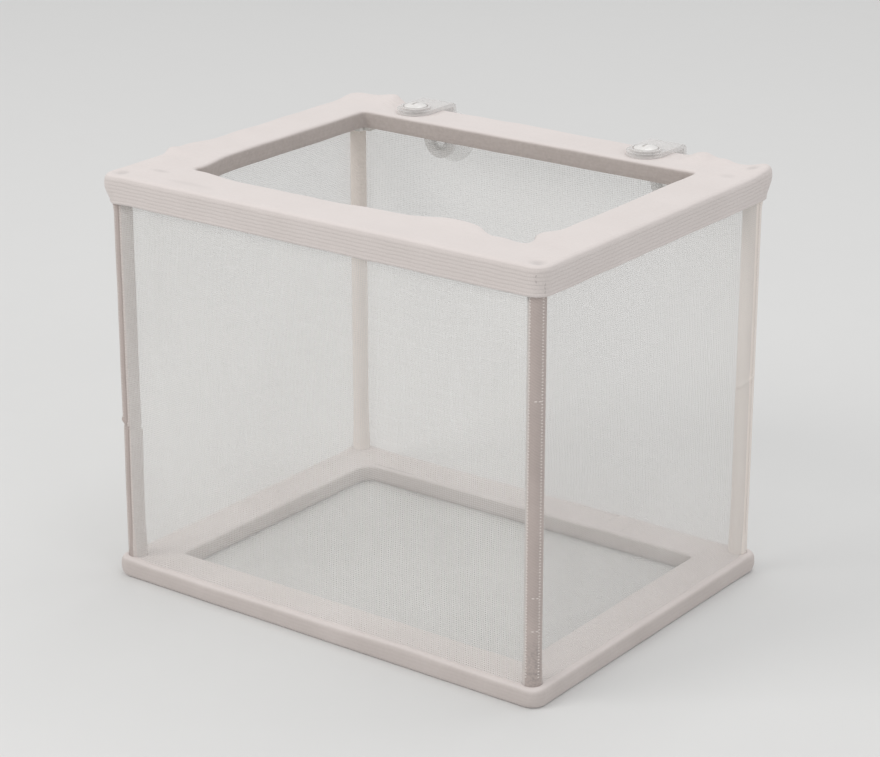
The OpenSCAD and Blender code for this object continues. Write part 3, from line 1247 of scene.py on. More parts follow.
@dataclass(frozen=True)
class StitchRow:
    """A row of stitches: where it runs, which way it faces and how it is sewn."""

    points: np.ndarray
    out: np.ndarray
    pitch: float
    length: float
    slant: float = 0.0
    look: float = 0.2

    def frames(self) -> Iterator[tuple[np.ndarray, np.ndarray, np.ndarray, np.ndarray]]:
        """Step along the row.

        Returns:
            The place of each stitch and its three unit vectors: along it, across it and out.
        """
        run = run_along(self.points)
        total, look = run[-1], self.look

        def read(table: np.ndarray, at: float) -> np.ndarray:
            """Read a table of the row's points at a distance along it."""
            return np.array([np.interp(at, run, table[:, c]) for c in range(3)])

        count = max(1, int(total / self.pitch))
        for k in range(count):
            at = (k + 0.5) * total / count
            ahead = read(self.points, min(at + look, total)) - read(self.points, max(at - look, 0))
            ahead /= np.linalg.norm(ahead)
            out = read(self.out, at)
            out -= ahead * (out @ ahead)
            out /= np.linalg.norm(out)
            tilt = math.radians(self.slant) * (1 if k % 2 else -1)
            along = ahead * math.cos(tilt) + np.cross(out, ahead) * math.sin(tilt)
            yield read(self.points, at), along, np.cross(out, along), out


@dataclass(frozen=True)
class Stitching:
    """Sewing thread laid in rows of single stitches."""

    name: str
    rows: tuple[StitchRow, ...]
    radius: float
    crown: float = 0.5
    ends: tuple[tuple[float, float, float], ...] = ((0.15, 0.03, 0.85), (0.10, 0.09, 0.45))

    def _stitch(self) -> bpy.types.Object:
        """Model one stitch: a thread that rises in its middle and dives at both ends.

        Returns:
            The stitch, lying along x.
        """
        deselect_all()
        bpy.ops.mesh.primitive_cylinder_add(
            vertices=6, radius=self.radius * MM, depth=self.crown * MM, rotation=(0, math.pi / 2, 0)
        )
        ob = settle(bpy.context.active_object, "stitch")
        with edit_mode(ob):
            for sign in (-1, 1):
                for reach, drop, width in self.ends:
                    select_faces(ob, lambda middle, normal: normal.x * sign > 0.9)
                    bpy.ops.mesh.extrude_region_move(
                        TRANSFORM_OT_translate={"value": metres((sign * reach, 0, -drop))}
                    )
                    bpy.ops.transform.resize(value=(1, width, width))
        return ob

    @staticmethod
    def _faces(mesh: bpy.types.Mesh) -> list[list[int]]:
        """Put a mesh's faces in an order that is the same in each run.

        Args:
            mesh: The mesh.

        Returns:
            The vertex numbers of each face, the lowest first.
        """
        faces = []
        for polygon in mesh.polygons:
            face = list(polygon.vertices)
            first = face.index(min(face))
            faces.append(face[first:] + face[:first])
        return sorted(faces)

    def build(self) -> bpy.types.Object:
        """Copy the stitch along every row, each copy with its own vertices.

        Returns:
            All the stitches as one piece.
        """
        unit = self._stitch()
        shape = np.array([v.co for v in unit.data.vertices]) / MM
        shape[:, 0] /= np.abs(shape[:, 0]).max() * 2
        unit_faces = self._faces(unit.data)
        bpy.data.objects.remove(unit)
        points, faces = [], []
        for row in self.rows:
            for place, along, across, out in row.frames():
                start = len(points) * len(shape)
                laid = shape[:, :1] * row.length * along + shape[:, 1:2] * across + shape[:, 2:] * out
                points.append(place + laid)
                faces += [[v + start for v in face] for face in unit_faces]
        ob = mesh_piece(self.name, np.vstack(points), faces)
        smooth(ob, SHARP_FOLD)
        return ob


# --- sub-assemblies --------------------------------------------------------------------


def dress(ob: bpy.types.Object, material: bpy.types.Material) -> None:
    """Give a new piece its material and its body.

    Args:
        ob: The finished piece.
        material: What it is made of.
    """
    ob.data.materials.clear()
    ob.data.materials.append(material)
    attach(ob, BODY)


@dataclass(frozen=True)
class TopHem:
    """The ribbed hem folded over both sides of the top rails. Only its flat size is in metres."""

    top: float = BOX_TOP
    drop: float = BAND_HEIGHT
    reach: float = 17.5
    fold: float = 5.4
    thickness: float = 0.6
    outer_round: float = 1.7
    inner_round: float = 1.3
    bead: tuple[tuple[float, float], ...] = (
        (0.1, 0.05), (-0.14, 0.35), (-0.14, 0.75), (0.0, 1.15), (0.0, 1.7),
    )
    inner_radii: tuple[float, float, float, float] = (1.2, 1.4, 1.6, 3.4)
    slack: float = 0.45
    seed: float = 3.7
    dimple: tuple[float, float] = (2.6, 0.6)
    dimple_height: float = 3.0
    buttons: tuple[tuple[float, float], ...] = BUTTONS
    hole_radius: float = 2.5
    held_half: float = 9.5
    held_from: float = 50.0
    held_ease: float = 4.0
    join_turns: tuple[float, float] = (-60.0, -30.0)
    join_ends: tuple[tuple[float, float], ...] = ((1.9, 5.0), (4.6, 8.0))
    pitch: float = 1.1
    stitch: float = 0.95
    slant: float = 12.0
    thread_radius: float = 0.16
    flat: tuple[float, float] = (0.031, 0.590)

    def _path(self) -> tuple[tuple[float, float], ...]:
        """Draw the outer line from the band's rolled lower edge over the top to the inner fold.

        Returns:
            The line's points: how far in from the box's outer face, and how high.
        """
        top, outer, inner = self.top, self.outer_round, self.inner_round
        path = [(inset, top - self.drop + rise) for inset, rise in self.bead]
        path += arc((outer, top - outer), outer, 180, 90, 6)
        path += arc((self.reach - inner, top - inner), inner, 90, 0, 5)
        path += [(self.reach, top - self.fold)]
        return tuple(path)

    def _puckers(self) -> tuple[Pucker, ...]:
        """Say where this hem sags, bunches or stands off its frame.

        Returns:
            The puckers, by place.
        """
        top, (width, depth) = self.top, self.dimple
        inner_front = (
            Pucker((-60, -45, top - 2), (13, 5.5, 9), (0, 3.8, -0.2)),
            Pucker((-22, -45, top - 2), (26, 5, 9), (0, 1.2, -0.1)),
            Pucker((18, -45, top - 2), (18, 6, 9), (0, 2.4, 0.3)),
            Pucker((37, -46, top - 2), (10, 7, 9), (0, 4.4, 0.9)),
            Pucker((46, -45, top - 2), (5, 6, 9), (0, 2.6, 0.3)),
            Pucker((57, -45, top - 2), (3.4, 4.5, 9), (0, 1.5, 0)),
        )
        inner_sides = (
            Pucker((64, -36, top - 2), (5, 4.5, 9), (-3.1, 0, 0.2)),
            Pucker((-65, -38, top - 2), (5, 10, 9), (2.2, 0, -0.1)),
        )
        outer_left = (
            Pucker((-82.5, -31, top - 1), (6, 2.6, 6), (-0.9, 0, 0.9)),
            Pucker((-82.5, -24, top - 1), (6, 9, 6), (-0.7, 0, 0.8)),
        )
        back_bumps = (
            Pucker((-79, 60, top), (7, 6, 6), (-0.3, 0.3, 0.8)),
            Pucker((-64, 61, top), (8, 5, 6), (0, 0.9, 2.4)),
            Pucker((58.5, 60.5, top), (4.5, 6, 6), (0, 0.3, 2.0)),
            Pucker((66, 62, top), (2.6, 5, 6), (0, 0.2, 0.8)),
            Pucker((80, 61, top - 1), (4.6, 6, 7), (0.5, 0.4, 1.9)),
        )
        band_ends = (
            Pucker((-82, -63, top - 3.5), (6, 6, 3.5), (-0.9, -0.7, 0)),
            Pucker((82, 63, top - 3.5), (6, 6, 3.5), (0.7, 0.5, 0)),
            Pucker((-81, -62, top - self.drop), (4.5, 4.5, 2.6), (0.65, 0.6, -0.7)),
            Pucker((81, 62, top - self.drop), (4.5, 4.5, 3.5), (-0.65, -0.6, -0.7)),
        )
        reach = (width, width, self.dimple_height)
        dimples = tuple(Pucker((*corner.post, top), reach, (0, 0, -depth)) for corner in Corner)
        return inner_front + inner_sides + outer_left + back_bumps + band_ends + dimples

    def _free(self, points: np.ndarray) -> np.ndarray:
        """How freely the hem may lift: not at all where a hanger turns on it.

        Args:
            points: Places on the hem.

        Returns:
            A value from 0 to 1 for each.
        """
        x, y = points[:, 0], points[:, 1]
        held = np.zeros(len(points))
        for place, _ in self.buttons:
            short = np.maximum(self.held_from - y, 0)
            away = np.hypot((x - place) / self.held_half, short / self.held_ease)
            held = np.maximum(held, np.clip(3.0 - 2.0 * away, 0, 1))
        return 1.0 - held

    def _stitches(self, round_radius: float) -> bpy.types.Object:
        """Sew the band's join at the front right corner: two short upright rows.

        Args:
            round_radius: The radius of the band's corner.

        Returns:
            The stitches.
        """
        middle = np.array((BOX_LENGTH / 2, -BOX_WIDTH / 2)) - np.array((1, -1)) * round_radius
        rows = []
        for turn, drops in zip(self.join_turns, self.join_ends):
            t = math.radians(turn)
            out = np.array((math.cos(t), math.sin(t), 0.0))
            ends = np.array([(*(middle + round_radius * out[:2]), self.top - drop) for drop in drops])
            facing = np.tile(out, (2, 1))
            rows.append(StitchRow(ends, facing, pitch=self.pitch, length=self.stitch, slant=self.slant))
        return Stitching("hem_stitches", tuple(rows), self.thread_radius).build()

    def build(self, cloth: bpy.types.Material, thread: bpy.types.Material) -> None:
        """Make the hem and put it in the place of its plain solid.

        Args:
            cloth: What it is made of.
            thread: What it is sewn with.
        """
        ring = RingCloth(
            "hem_cloth", self._path(), self.reach, self.thickness, self.inner_radii, self._puckers(),
            slack=self.slack, seed=self.seed,
        )
        ob = ring.build(self._free)
        Holes(self.buttons, self.hole_radius, self.top).punch(ob)
        dress(ob, cloth)
        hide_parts("top_hem")
        stitches = self._stitches(ring.outline.corner)
        dress(stitches, thread)
        log.info("hem: %d faces", len(ob.data.polygons))


@dataclass(frozen=True)
class BottomSleeve:
    """The cloth tunnel sewn round the bottom rails. Only its flat size is in metres."""

    height: float = SLEEVE_TOP
    reach: float = 15.3
    thickness: float = 0.6
    lip: float = 0.75
    lower_round: float = 0.9
    outer_round: float = 1.5
    inner_round: float = 1.3
    inner_radii: tuple[float, float, float, float] = (1.2, 1.4, 5.0, 1.0)
    slack: float = 0.35
    seed: float = 8.1
    ground_ease: tuple[float, float] = (0.2, 1.5)
    foot_half: float = 4.5
    foot_lift: float = 0.9
    low_foot_lift: float = 0.25
    hole_radius: float = 3.15
    join: tuple[float, float] = (30.0, 38.0)
    join_ends: tuple[float, float] = (1.6, 1.4)
    join_lift: float = 0.2
    row_in: float = 1.6
    row_start: float = 2.0
    row_length: float = 28.0
    row_lift: float = 0.03
    pitch: float = 1.3
    stitch: float = 1.1
    thread_radius: float = 0.16
    flat: tuple[float, float] = (0.042, 0.590)

    def _path(self) -> tuple[tuple[float, float], ...]:
        """Draw the outer line: lip, outer side, top and inner side.

        Returns:
            The line's points: how far in from the box's outer face, and how high.
        """
        low, outer, inner = self.lower_round, self.outer_round, self.inner_round
        path = [(self.reach - self.lip, 0.0)]
        path += arc((low, low), low, 270, 180, 4)
        path += arc((outer, self.height - outer), outer, 180, 90, 6)
        path += arc((self.reach - inner, self.height - inner), inner, 90, 0, 5)
        path += [(self.reach, low + 0.05)]
        return tuple(path)

    def _puckers(self) -> tuple[Pucker, ...]:
        """Say where this sleeve bunches.

        Returns:
            The puckers, by place.
        """
        corners = (
            Pucker((-82, -63, 3), (6, 6, 4), (-0.8, -0.6, 0.1)),
            Pucker((82, 63, 3), (6, 6, 4), (0.9, 0.7, 0.1)),
            Pucker((82, -63, 3), (5, 5, 4), (0.4, -0.5, 0)),
        )
        sides = (
            Pucker((33, -62.3, 6.2), (17, 1.1, 1.6), (0, -0.2, 0.4)),
            Pucker((-45, -62.5, 3), (9, 3, 3), (0, -0.4, 0)),
            Pucker((sum(self.join) / 2, 56, self.height), (4.6, 12, 1.6), (0, 0, 0.4)),
        )
        lifts = {corner: self.foot_lift for corner in Corner} | {Corner.FRONT_RIGHT: self.low_foot_lift}
        reach = (self.foot_half, self.foot_half, 2)
        feet = tuple(
            Pucker((*corner.post, self.height), reach, (0, 0, lift)) for corner, lift in lifts.items()
        )
        return corners + sides + feet

    def _free(self, points: np.ndarray) -> np.ndarray:
        """How freely the sleeve may lift, from not at all on the ground."""
        start, run = self.ground_ease
        return np.clip((points[:, 2] + start) / run, 0, 1)

    def _stitches(self) -> bpy.types.Object:
        """Sew the join across the back and the row along the inner edge at the back left corner.

        Returns:
            The stitches.
        """
        back, (outer, inner) = BOX_WIDTH / 2, self.join_ends
        over = self.height + self.join_lift
        ends = [[(x, back - outer, over), (x, back - self.reach + inner, over)] for x in self.join]
        start, over = self.reach + self.row_start - BOX_LENGTH / 2, self.height + self.row_lift
        inner = back - self.reach + self.row_in
        ends.append([(start, inner, over), (start + self.row_length, inner, over)])
        up = np.tile((0.0, 0.0, 1.0), (2, 1))
        rows = (StitchRow(np.array(row), up, pitch=self.pitch, length=self.stitch) for row in ends)
        return Stitching("sleeve_stitches", tuple(rows), self.thread_radius).build()

    def build(self, cloth: bpy.types.Material, thread: bpy.types.Material) -> None:
        """Make the sleeve and put it in the place of its plain solid.

        Args:
            cloth: What it is made of.
            thread: What it is sewn with.
        """
        ring = RingCloth(
            "sleeve_cloth", self._path(), self.reach, self.thickness, self.inner_radii, self._puckers(),
            slack=self.slack, seed=self.seed,
        )
        ob = ring.build(self._free)
        Holes(tuple(corner.post for corner in Corner), self.hole_radius, self.height).punch(ob)
        dress(ob, cloth)
        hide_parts("bottom_sleeve")
        stitches = self._stitches()
        dress(stitches, thread)
        log.info("sleeve: %d faces", len(ob.data.polygons))


@dataclass(frozen=True)
class NetBag:
    """The bag's four upright nets and its floor."""

    inset: float = 2.2
    tuck: float = 1.15
    bottom: float = SLEEVE_TOP
    top: float = NET_TOP
    step: float = 2.2
    fold_wave: float = 24.0
    fold_squeeze: tuple[float, float, float] = (1.0, 1.0, 0.45)
    fold_depth: float = 2.4
    belly: float = 0.5
    hem_ease: float = 18.0
    tape_clear: float = 7.0
    tape_ease: float = 20.0
    seed: float = 1.3
    seed_step: float = 4.1
    floor_inset: float = 15.25
    floor_height: float = 0.3
    floor_wave: float = 20.0
    floor_lift: float = 1.4
    floor_ease: float = 12.0
    floor_seed: float = 5.2

    def _span(self, side: Side) -> float:
        """A wall's width, from inside one tape to inside the next."""
        return side.run - 2 * (POST_IN + self.tuck)

    def _sag(self, side: Side, points: np.ndarray, seed: float) -> np.ndarray:
        """How far the slack net stands in or out.

        Args:
            side: Which side of the bag it is.
            points: Places on the net.
            seed: An offset for its folds.

        Returns:
            A distance for each place.
        """
        edge = np.minimum(points[:, 2] - self.bottom, self.top - points[:, 2])
        end = side.run / 2 - self.inset - np.abs(points[:, :2] @ side.along)
        hold = np.clip(np.minimum(edge / self.hem_ease, (end - self.tape_clear) / self.tape_ease), 0, 1)
        folds = ripple(points * self.fold_squeeze, self.fold_wave, seed) - 0.5
        return hold * (folds * self.fold_depth - self.belly)

    def _wall(self, side: Side, seed: float) -> bpy.types.Object:
        """Make one upright net.

        Args:
            side: Which side of the bag it is.
            seed: An offset for its folds.

        Returns:
            The net as one open sheet.
        """
        reach = self._span(side) / 2
        along = spread([(-reach, 0.0), (reach, 0.0)], self.step)[:, :1]
        line = along * side.along + (side.depth / 2 - self.inset) * side.out
        heights = spread([(0, self.bottom), (0, self.top)], self.step)[:, 1]
        count, rows = len(line), len(heights)
        points = np.column_stack((np.tile(line, (rows, 1)), np.repeat(heights, count)))
        flat = np.column_stack((np.tile(run_along(line), rows), np.repeat(heights, count)))
        points[:, :2] += self._sag(side, points, seed)[:, None] * side.out
        return sheet_piece(f"netting_{side.label}", points, flat, count)

    def _floor(self) -> bpy.types.Object:
        """Make the bag's floor, which ripples a little off what it stands on.

        Returns:
            The floor as one open sheet.
        """
        a, b = BOX_LENGTH / 2 - self.floor_inset, BOX_WIDTH / 2 - self.floor_inset
        xs, ys = (spread([(-half, 0), (half, 0)], self.step)[:, 0] for half in (a, b))
        grid_x, grid_y = np.meshgrid(xs, ys)
        level = np.full(grid_x.size, self.floor_height)
        points = np.column_stack((grid_x.ravel(), grid_y.ravel(), level))
        end = np.minimum(a - np.abs(points[:, 0]), b - np.abs(points[:, 1]))
        hold = np.clip(end / self.floor_ease, 0, 1)
        points[:, 2] += hold * ripple(points, self.floor_wave, self.floor_seed) ** 2 * self.floor_lift
        return sheet_piece("netting_floor", points, points[:, :2], len(xs))

    def build(self, net: bpy.types.Material) -> None:
        """Make the five nets and put them in the place of their plain solids.

        Args:
            net: What they are made of.
        """
        for k, side in enumerate(Side):
            ob = self._wall(side, self.seed + self.seed_step * k)
            dress(ob, net)
            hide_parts(f"net_wall_{side.label}")
            log.info("net %s: %d faces", side.label, len(ob.data.polygons))
        floor = self._floor()
        dress(floor, net)
        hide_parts("net_floor")
        log.info("net floor: %d faces", len(floor.data.polygons))


@dataclass(frozen=True)
class Crease:
    """A fold across one tape: a ridge over a shallower valley, the tape under them slipped aside."""

    corner: Corner
    height: float
    slope: float
    size: float
    slip: float = 0.0
    towards: tuple[float, float, float] | None = None
    aside: tuple[float, float, float] = (0.8, 0.6, 0.0)
    ridge_width: float = 0.7
    valley_width: float = 0.9
    valley_gap: float = 1.5
    valley_share: float = 0.36
    slip_width: float = 0.4
    slip_ease: float = 20.0

    def fold(self, points: np.ndarray) -> np.ndarray:
        """Fold places on the tape.

        Args:
            points: The places, one a row.

        Returns:
            The moved places.
        """
        axis, aside = np.array((*self.corner.post, 0.0)), np.array(self.aside)
        towards = self.corner.out if self.towards is None else np.array(self.towards)
        over = points[:, 2] - self.height + (points - axis) @ aside * self.slope
        ridge = np.exp(-((over / self.ridge_width) ** 2))
        valley = np.exp(-(((over + self.valley_gap) / self.valley_width) ** 2))
        push = (ridge - valley * self.valley_share) * self.size
        below = 1 / (1 + np.exp(np.clip(over / self.slip_width, -30, 30)))
        slip = self.slip * below * np.clip(points[:, 2] / self.slip_ease - 1, 0, 1)
        return points + push[:, None] * towards + slip[:, None] * aside


@dataclass(frozen=True)
class CornerTapes:
    """The tapes sewn round the four posts, each with a raised band and its rows of stitches."""

    radius: float = 2.75
    thickness: float = 0.45
    bottom: float = SLEEVE_TOP - 0.3
    top: float = TAPE_TOP
    step: float = 0.9
    turn_step: float = 9.0
    crease_step: float = 0.3
    crease_reach: tuple[float, float] = (4.0, 5.0)
    band: float = 0.35
    band_turn: float = 56.0
    band_ease: float = 7.0
    foot_swell: float = 0.3
    foot_play: float = 0.22
    foot_top: float = 8.7
    foot_ease: float = 9.0
    flared: tuple[Corner, ...] = (Corner.FRONT_LEFT, Corner.BACK_RIGHT)
    flare: float = 0.6
    flare_height: float = 5.0
    waver: float = 0.2
    waver_wave: float = 14.0
    waver_squeeze: tuple[float, float, float] = (0.3, 0.3, 1.0)
    creases: tuple[Crease, ...] = (
        Crease(Corner.FRONT_LEFT, 52.0, 0.5, 0.5, slip=0.22),
        Crease(Corner.BACK_RIGHT, 66.0, -0.75, 0.4, towards=(0.6, -0.8, 0.0)),
    )
    seam_turns: tuple[float, ...] = (-50.0, 24.0, 61.0)
    seam_end: float = 0.4
    seam_pitch: float = 0.95
    seam_stitch: float = 0.7
    seam_slant: float = 62.0
    tacked: tuple[Corner, ...] = (Corner.FRONT_RIGHT,)
    tacks: tuple[float, ...] = (24.0, 34.5, 95.0)
    tack_turn: float = 24.0
    tack_step: float = 8.0
    tack_pitch: float = 0.9
    tack_stitch: float = 0.85
    thread_radius: float = 0.15
    thread_lift: float = 0.02

    def _heights(self) -> np.ndarray:
        """The heights of the cross sections, closer together round the creases.

        Returns:
            The heights in rising order.
        """
        coarse = np.arange(self.bottom, self.top, self.step)
        below, above = self.crease_reach
        fine = [
            np.arange(crease.height - below, crease.height + above, self.crease_step)
            for crease in self.creases
        ]
        return np.unique(np.round((*coarse, *np.concatenate(fine), self.top), 3))

    def _turns(self) -> np.ndarray:
        """The angles of a section's points from the corner's diagonal, closer at the band's edges.

        Returns:
            The angles in degrees, in rising order.
        """
        inner_edges = [self.band_turn - share * self.band_ease for share in (0.0, 0.5, 1.0)]
        edges = [sign * edge for sign in (-1, 1) for edge in inner_edges]
        return np.unique(np.round((*np.arange(-180.0, 180.0, self.turn_step), *edges), 3))

    def _lay(
        self, corner: Corner, turns: np.ndarray, heights: np.ndarray, inside: bool = False
    ) -> np.ndarray:
        """Places on the tape of one corner.

        Args:
            corner: The corner.
            turns: Angles from the corner's diagonal in degrees, one for each place.
            heights: Their heights.
            inside: Whether they lie on the tape's inner face.

        Returns:
            One row of x, y and z for each place.
        """
        rise = ease(np.clip((self.band_turn - np.abs(turns)) / self.band_ease, 0, 1))
        swell = ease(np.clip((self.foot_top - heights) / self.foot_ease + 1, 0, 1))
        if inside:
            radius = self.radius - self.thickness + swell * (self.foot_swell + self.foot_play)
        else:
            radius = self.radius + swell * self.foot_swell + rise * (1 - swell) * self.band
        if corner in self.flared:
            upper = np.clip((heights - self.top) / self.flare_height + 1, 0, 1)
            radius = radius + self.flare * upper**2 * np.clip(np.cos(np.radians(turns)), 0, 1)
        (x, y), (cos, sin) = corner.post, corner.radial(turns)
        places = np.column_stack((x + radius * cos, y + radius * sin, heights))
        sx, sy = corner.value
        waver = ripple(places * self.waver_squeeze, self.waver_wave, 2.0 + sx + 3 * sy) - 0.5
        places = places + (waver * self.waver * (1 - swell))[:, None] * corner.out
        for crease in self.creases:
            if crease.corner is corner:
                places = crease.fold(places)
        return places

    def _tape(self, corner: Corner) -> bpy.types.Object:
        """Make the tape of one corner.

        Args:
            corner: The corner.

        Returns:
            The tape as a closed tube with its cloth map.
        """
        turns, heights = self._turns(), self._heights()
        count, levels = len(turns), len(heights)
        grid = np.tile(turns, levels), np.repeat(heights, count)
        outer, inner = (self._lay(corner, *grid, inside=inside) for inside in (False, True))
        ends, within = (*turns, 180.0), count * levels
        faces, corners = [], []

        def add(face: tuple[int, ...], spots: tuple[tuple[float, float], ...]) -> None:
            """Keep one face with the turn and the height of its corners."""
            faces.append(face)
            corners.extend((self.radius * math.radians(turn), height) for turn, height in spots)

        for j in range(count):
            after, left, right = (j + 1) % count, ends[j], ends[j + 1]
            for i in range(levels - 1):
                face = (i * count + j, i * count + after, (i + 1) * count + after, (i + 1) * count + j)
                low, high = heights[i], heights[i + 1]
                spots = ((left, low), (right, low), (right, high), (left, high))
                add(face, spots)
                add(tuple(within + v for v in face), spots)
            for i in (0, levels - 1):
                rim, height = (i * count + j, i * count + after), heights[i]
                low = height - self.seam_end
                spots = ((left, height), (right, height), (right, low), (left, low))
                add((*rim, *(within + v for v in reversed(rim))), spots)
        ob = mesh_piece(f"tape_{corner.label}", np.vstack((outer, inner)), faces)
        write_map(ob, np.array(corners))
        face_outwards(ob)
        smooth(ob, SHARP_FOLD)
        return ob

    def _row(self, corner: Corner, turns: np.ndarray, heights: np.ndarray, **sewn: float) -> StitchRow:
        """Lay a row of stitches on one tape.

        Args:
            corner: The corner.
            turns: Angles from the corner's diagonal in degrees, one for each point of the row.
            heights: Their heights.
            sewn: How the row is sewn.

        Returns:
            The row.
        """
        out = np.column_stack((*corner.radial(turns), np.zeros(len(turns))))
        return StitchRow(self._lay(corner, turns, heights) + out * self.thread_lift, out, **sewn)

    def _stitches(self, corner: Corner) -> bpy.types.Object:
        """Oversew both edges of one band and its middle and, at the front right, tack it across.

        Args:
            corner: The corner.

        Returns:
            The stitches.
        """
        heights = spread([(0, self.foot_top), (0, self.top - self.seam_end)], 2.0)[:, 1]
        sewn = {"pitch": self.seam_pitch, "length": self.seam_stitch, "slant": self.seam_slant}
        rows = [self._row(corner, np.full(len(heights), turn), heights, **sewn) for turn in self.seam_turns]
        turns = np.arange(-self.tack_turn, self.tack_turn + 1, self.tack_step)
        sewn = {"pitch": self.tack_pitch, "length": self.tack_stitch}
        for height in self.tacks if corner in self.tacked else ():
            rows.append(self._row(corner, turns, np.full(len(turns), height), **sewn))
        return Stitching(f"tape_stitches_{corner.label}", tuple(rows), self.thread_radius).build()

    def build(self, tape: bpy.types.Material, thread: bpy.types.Material) -> None:
        """Make the four tapes and their stitches in the place of the plain solids.

        Args:
            tape: What the tapes are made of.
            thread: What they are sewn with.
        """
        for corner in Corner:
            ob = self._tape(corner)
            dress(ob, tape)
            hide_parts(f"corner_tape_{corner.label}")
            stitches = self._stitches(corner)
            dress(stitches, thread)
            made = len(ob.data.polygons), len(stitches.data.polygons)
            log.info("tape %s: %d faces, stitches: %d", corner.label, *made)


@dataclass(frozen=True)
class MouldedParts:
    """The rails, posts, hangers, buttons and cups, whose shapes come from the frame."""

    strap: Finish = ClearFinish("strap_plastic", (0.86, 0.835, 0.82), body=0.42, rim=0.5, rough=0.14)
    button: Finish = ClearFinish("button_plastic", (0.95, 0.93, 0.91), body=0.8, rim=0.2, rough=0.16)
    cup: Finish = ClearFinish("cup_vinyl", (0.84, 0.84, 0.83), body=0.22, rim=0.5, rough=0.12)

    @staticmethod
    def paint(names: Sequence[str], material: bpy.types.Material) -> None:
        """Put a material on nodes of the frame.

        Args:
            names: The nodes.
            material: What they are made of.
        """
        for name in names:
            ob = frame["nodes"][name]
            if not ob.material_slots:
                ob.data.materials.append(material)
            for slot in ob.material_slots:
                slot.material = material
            log.info("painted %s", name)

    def build(self, effects: Effects) -> None:
        """Dress every moulded part.

        Args:
            effects: The shared node groups.
        """
        rails = [f"{level}_rail_{side.label}" for level in ("top", "bottom") for side in Side]
        posts = [f"post_{corner.label}" for corner in Corner]
        self.paint(rails + posts, MouldedFinish().material(effects))
        small = ((self.strap, "hanger"), (self.button, "snap_button"), (self.cup, "suction_cup"))
        for finish, stem in small:
            self.paint([f"{stem}_{hand}" for hand in HANDS], finish.material(effects))


@dataclass(frozen=True)
class Lamp:
    """A square soft box: where it hangs and its side in metres, its power and its colour."""

    name: str
    place: tuple[float, float, float]
    size: float
    watts: float
    colour: Rgb

    def hang(self, target: Vector) -> None:
        """Hang the lamp so that it shines at a place.

        Args:
            target: The place in metres.
        """
        data = bpy.data.lights.new(self.name, "AREA")
        data.size, data.energy, data.color = self.size, self.watts, self.colour
        lamp = bpy.data.objects.new(self.name, data)
        bpy.context.scene.collection.objects.link(lamp)
        lamp.location = self.place
        lamp.rotation_euler = (target - Vector(self.place)).to_track_quat("-Z", "Y").to_euler()


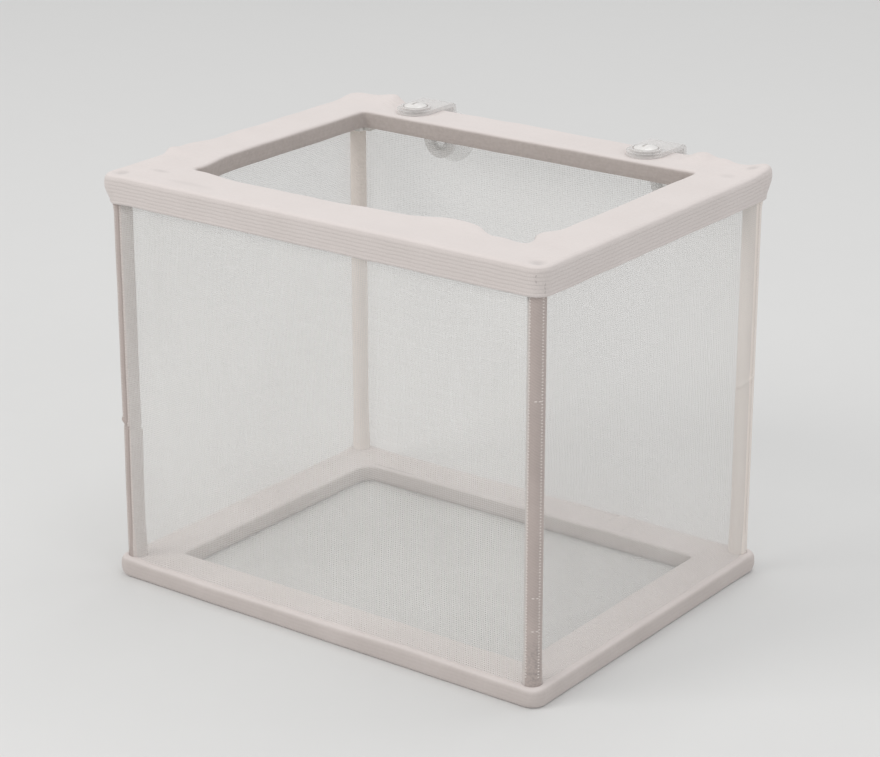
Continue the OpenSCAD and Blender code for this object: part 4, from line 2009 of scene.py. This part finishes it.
@dataclass(frozen=True)
class Studio:
    """Pale floor, soft lamps and the camera, in metres."""

    floor_size: float = 6.0
    floor_drop: float = 0.0001
    lamps: tuple[Lamp, ...] = (
        Lamp("key_lamp", (-0.75, -1.25, 1.25), 0.9, 11.0, (1.0, 0.985, 0.965)),
        Lamp("fill_lamp", (1.5, -0.5, 0.8), 1.0, 4.0, (0.97, 0.98, 1.0)),
        Lamp("top_lamp", (0.1, 0.5, 1.6), 1.1, 6.0, (1.0, 1.0, 1.0)),
    )
    lit_height: float = 0.06
    world: float = 0.62
    azimuth: float = 36.5
    elevation: float = 20.0
    distance: float = 0.84
    lens: float = 108.0
    sensor: float = 36.0
    target: tuple[float, float, float] = (0.0, 0.001, 0.0665)

    def build(self, effects: Effects) -> None:
        """Lay the floor, hang the lamps and set the camera.

        Args:
            effects: The shared node groups.
        """
        deselect_all()
        bpy.ops.mesh.primitive_plane_add(size=self.floor_size, location=(0, 0, -self.floor_drop))
        floor = settle(bpy.context.active_object, "studio_floor")
        floor.data.materials.append(FloorFinish().material(effects))
        for lamp in self.lamps:
            lamp.hang(Vector((0, 0, self.lit_height)))
        self._world()
        self._camera()

    def _world(self) -> None:
        """Even light from all round."""
        world = bpy.data.worlds.new("studio")
        world.use_nodes = True
        background = world.node_tree.nodes["Background"]
        background.inputs["Color"].default_value = rgba((1.0, 1.0, 1.0))
        background.inputs["Strength"].default_value = self.world
        bpy.context.scene.world = world

    def _camera(self) -> None:
        """Point the camera at the middle of the box."""
        a, e = math.radians(self.azimuth), math.radians(self.elevation)
        back = Vector((math.sin(a) * math.cos(e), -math.cos(a) * math.cos(e), math.sin(e)))
        data = bpy.data.cameras.new("camera")
        data.sensor_width, data.lens = self.sensor, self.lens
        data.clip_start, data.clip_end = 0.01, 50.0
        camera = bpy.data.objects.new("camera", data)
        bpy.context.scene.collection.objects.link(camera)
        camera.location = Vector(self.target) + back * self.distance
        camera.rotation_euler = (-back).to_track_quat("-Z", "Y").to_euler()
        bpy.context.scene.camera = camera


def hem_painted_shade() -> tuple[ShadeSpot, ...]:
    """Painted shade on the hem's top: darker patches in shallow dents, and the shade in the dimples over
    three of the posts.

    Returns:
        The spots.
    """
    shaded = (Corner.FRONT_RIGHT, Corner.BACK_RIGHT, Corner.FRONT_LEFT)
    return (
        # Painted shade of shallow dents in the hem's top.
        ShadeSpot((-69, -51, BOX_TOP), (5.0, 2.0, 3), 0.28),
        ShadeSpot((-52, -57, BOX_TOP), (12.0, 2.2, 3), 0.16),
        ShadeSpot((75, 48, BOX_TOP), (3.5, 3.0, 3), 0.2),
        *(ShadeSpot((*corner.post, BOX_TOP), (3.2, 3.2, 2.5), 0.42) for corner in shaded),
    )


def main() -> None:
    """Build the studio and every sub-assembly in order."""
    logging.basicConfig(level=logging.INFO, format="%(message)s")
    bpy.context.scene.view_settings.view_transform = "Standard"
    effects = Effects()
    Studio().build(effects)
    white = (0.755, 0.695, 0.675)
    # Each cloth's fold colour is painted shade on its inner fold; the hem's spots are painted shade too.
    hem = ClothFinish(
        "hem_weave", light=white, deep=(0.56, 0.51, 0.485), fold=(0.42, 0.37, 0.345),
        relief=0.34, top_relief=0.12, band_tone=0.5, spots=hem_painted_shade(),
    )
    sleeve = ClothFinish(
        "sleeve_weave", light=white, deep=(0.47, 0.42, 0.395), fold=(0.54, 0.49, 0.465),
        relief=0.1, top_relief=0.1, band_tone=0.32, contrast=0.1,
    )
    # The sewing thread's dark colour is partly its own and partly painted shade along the stitches.
    thread = ThreadFinish("sewing_thread", (0.62, 0.57, 0.545), (0.34, 0.31, 0.30)).material(effects)
    pale_thread = ThreadFinish("edge_thread", (0.86, 0.81, 0.78), (0.66, 0.61, 0.58)).material(effects)
    TopHem().build(hem.material(effects), thread)
    BottomSleeve().build(sleeve.material(effects), thread)
    NetBag().build(NetFinish().material(effects))
    CornerTapes().build(TapeFinish().material(effects), pale_thread)
    MouldedParts().build(effects)


if __name__ == "__main__":
    main()
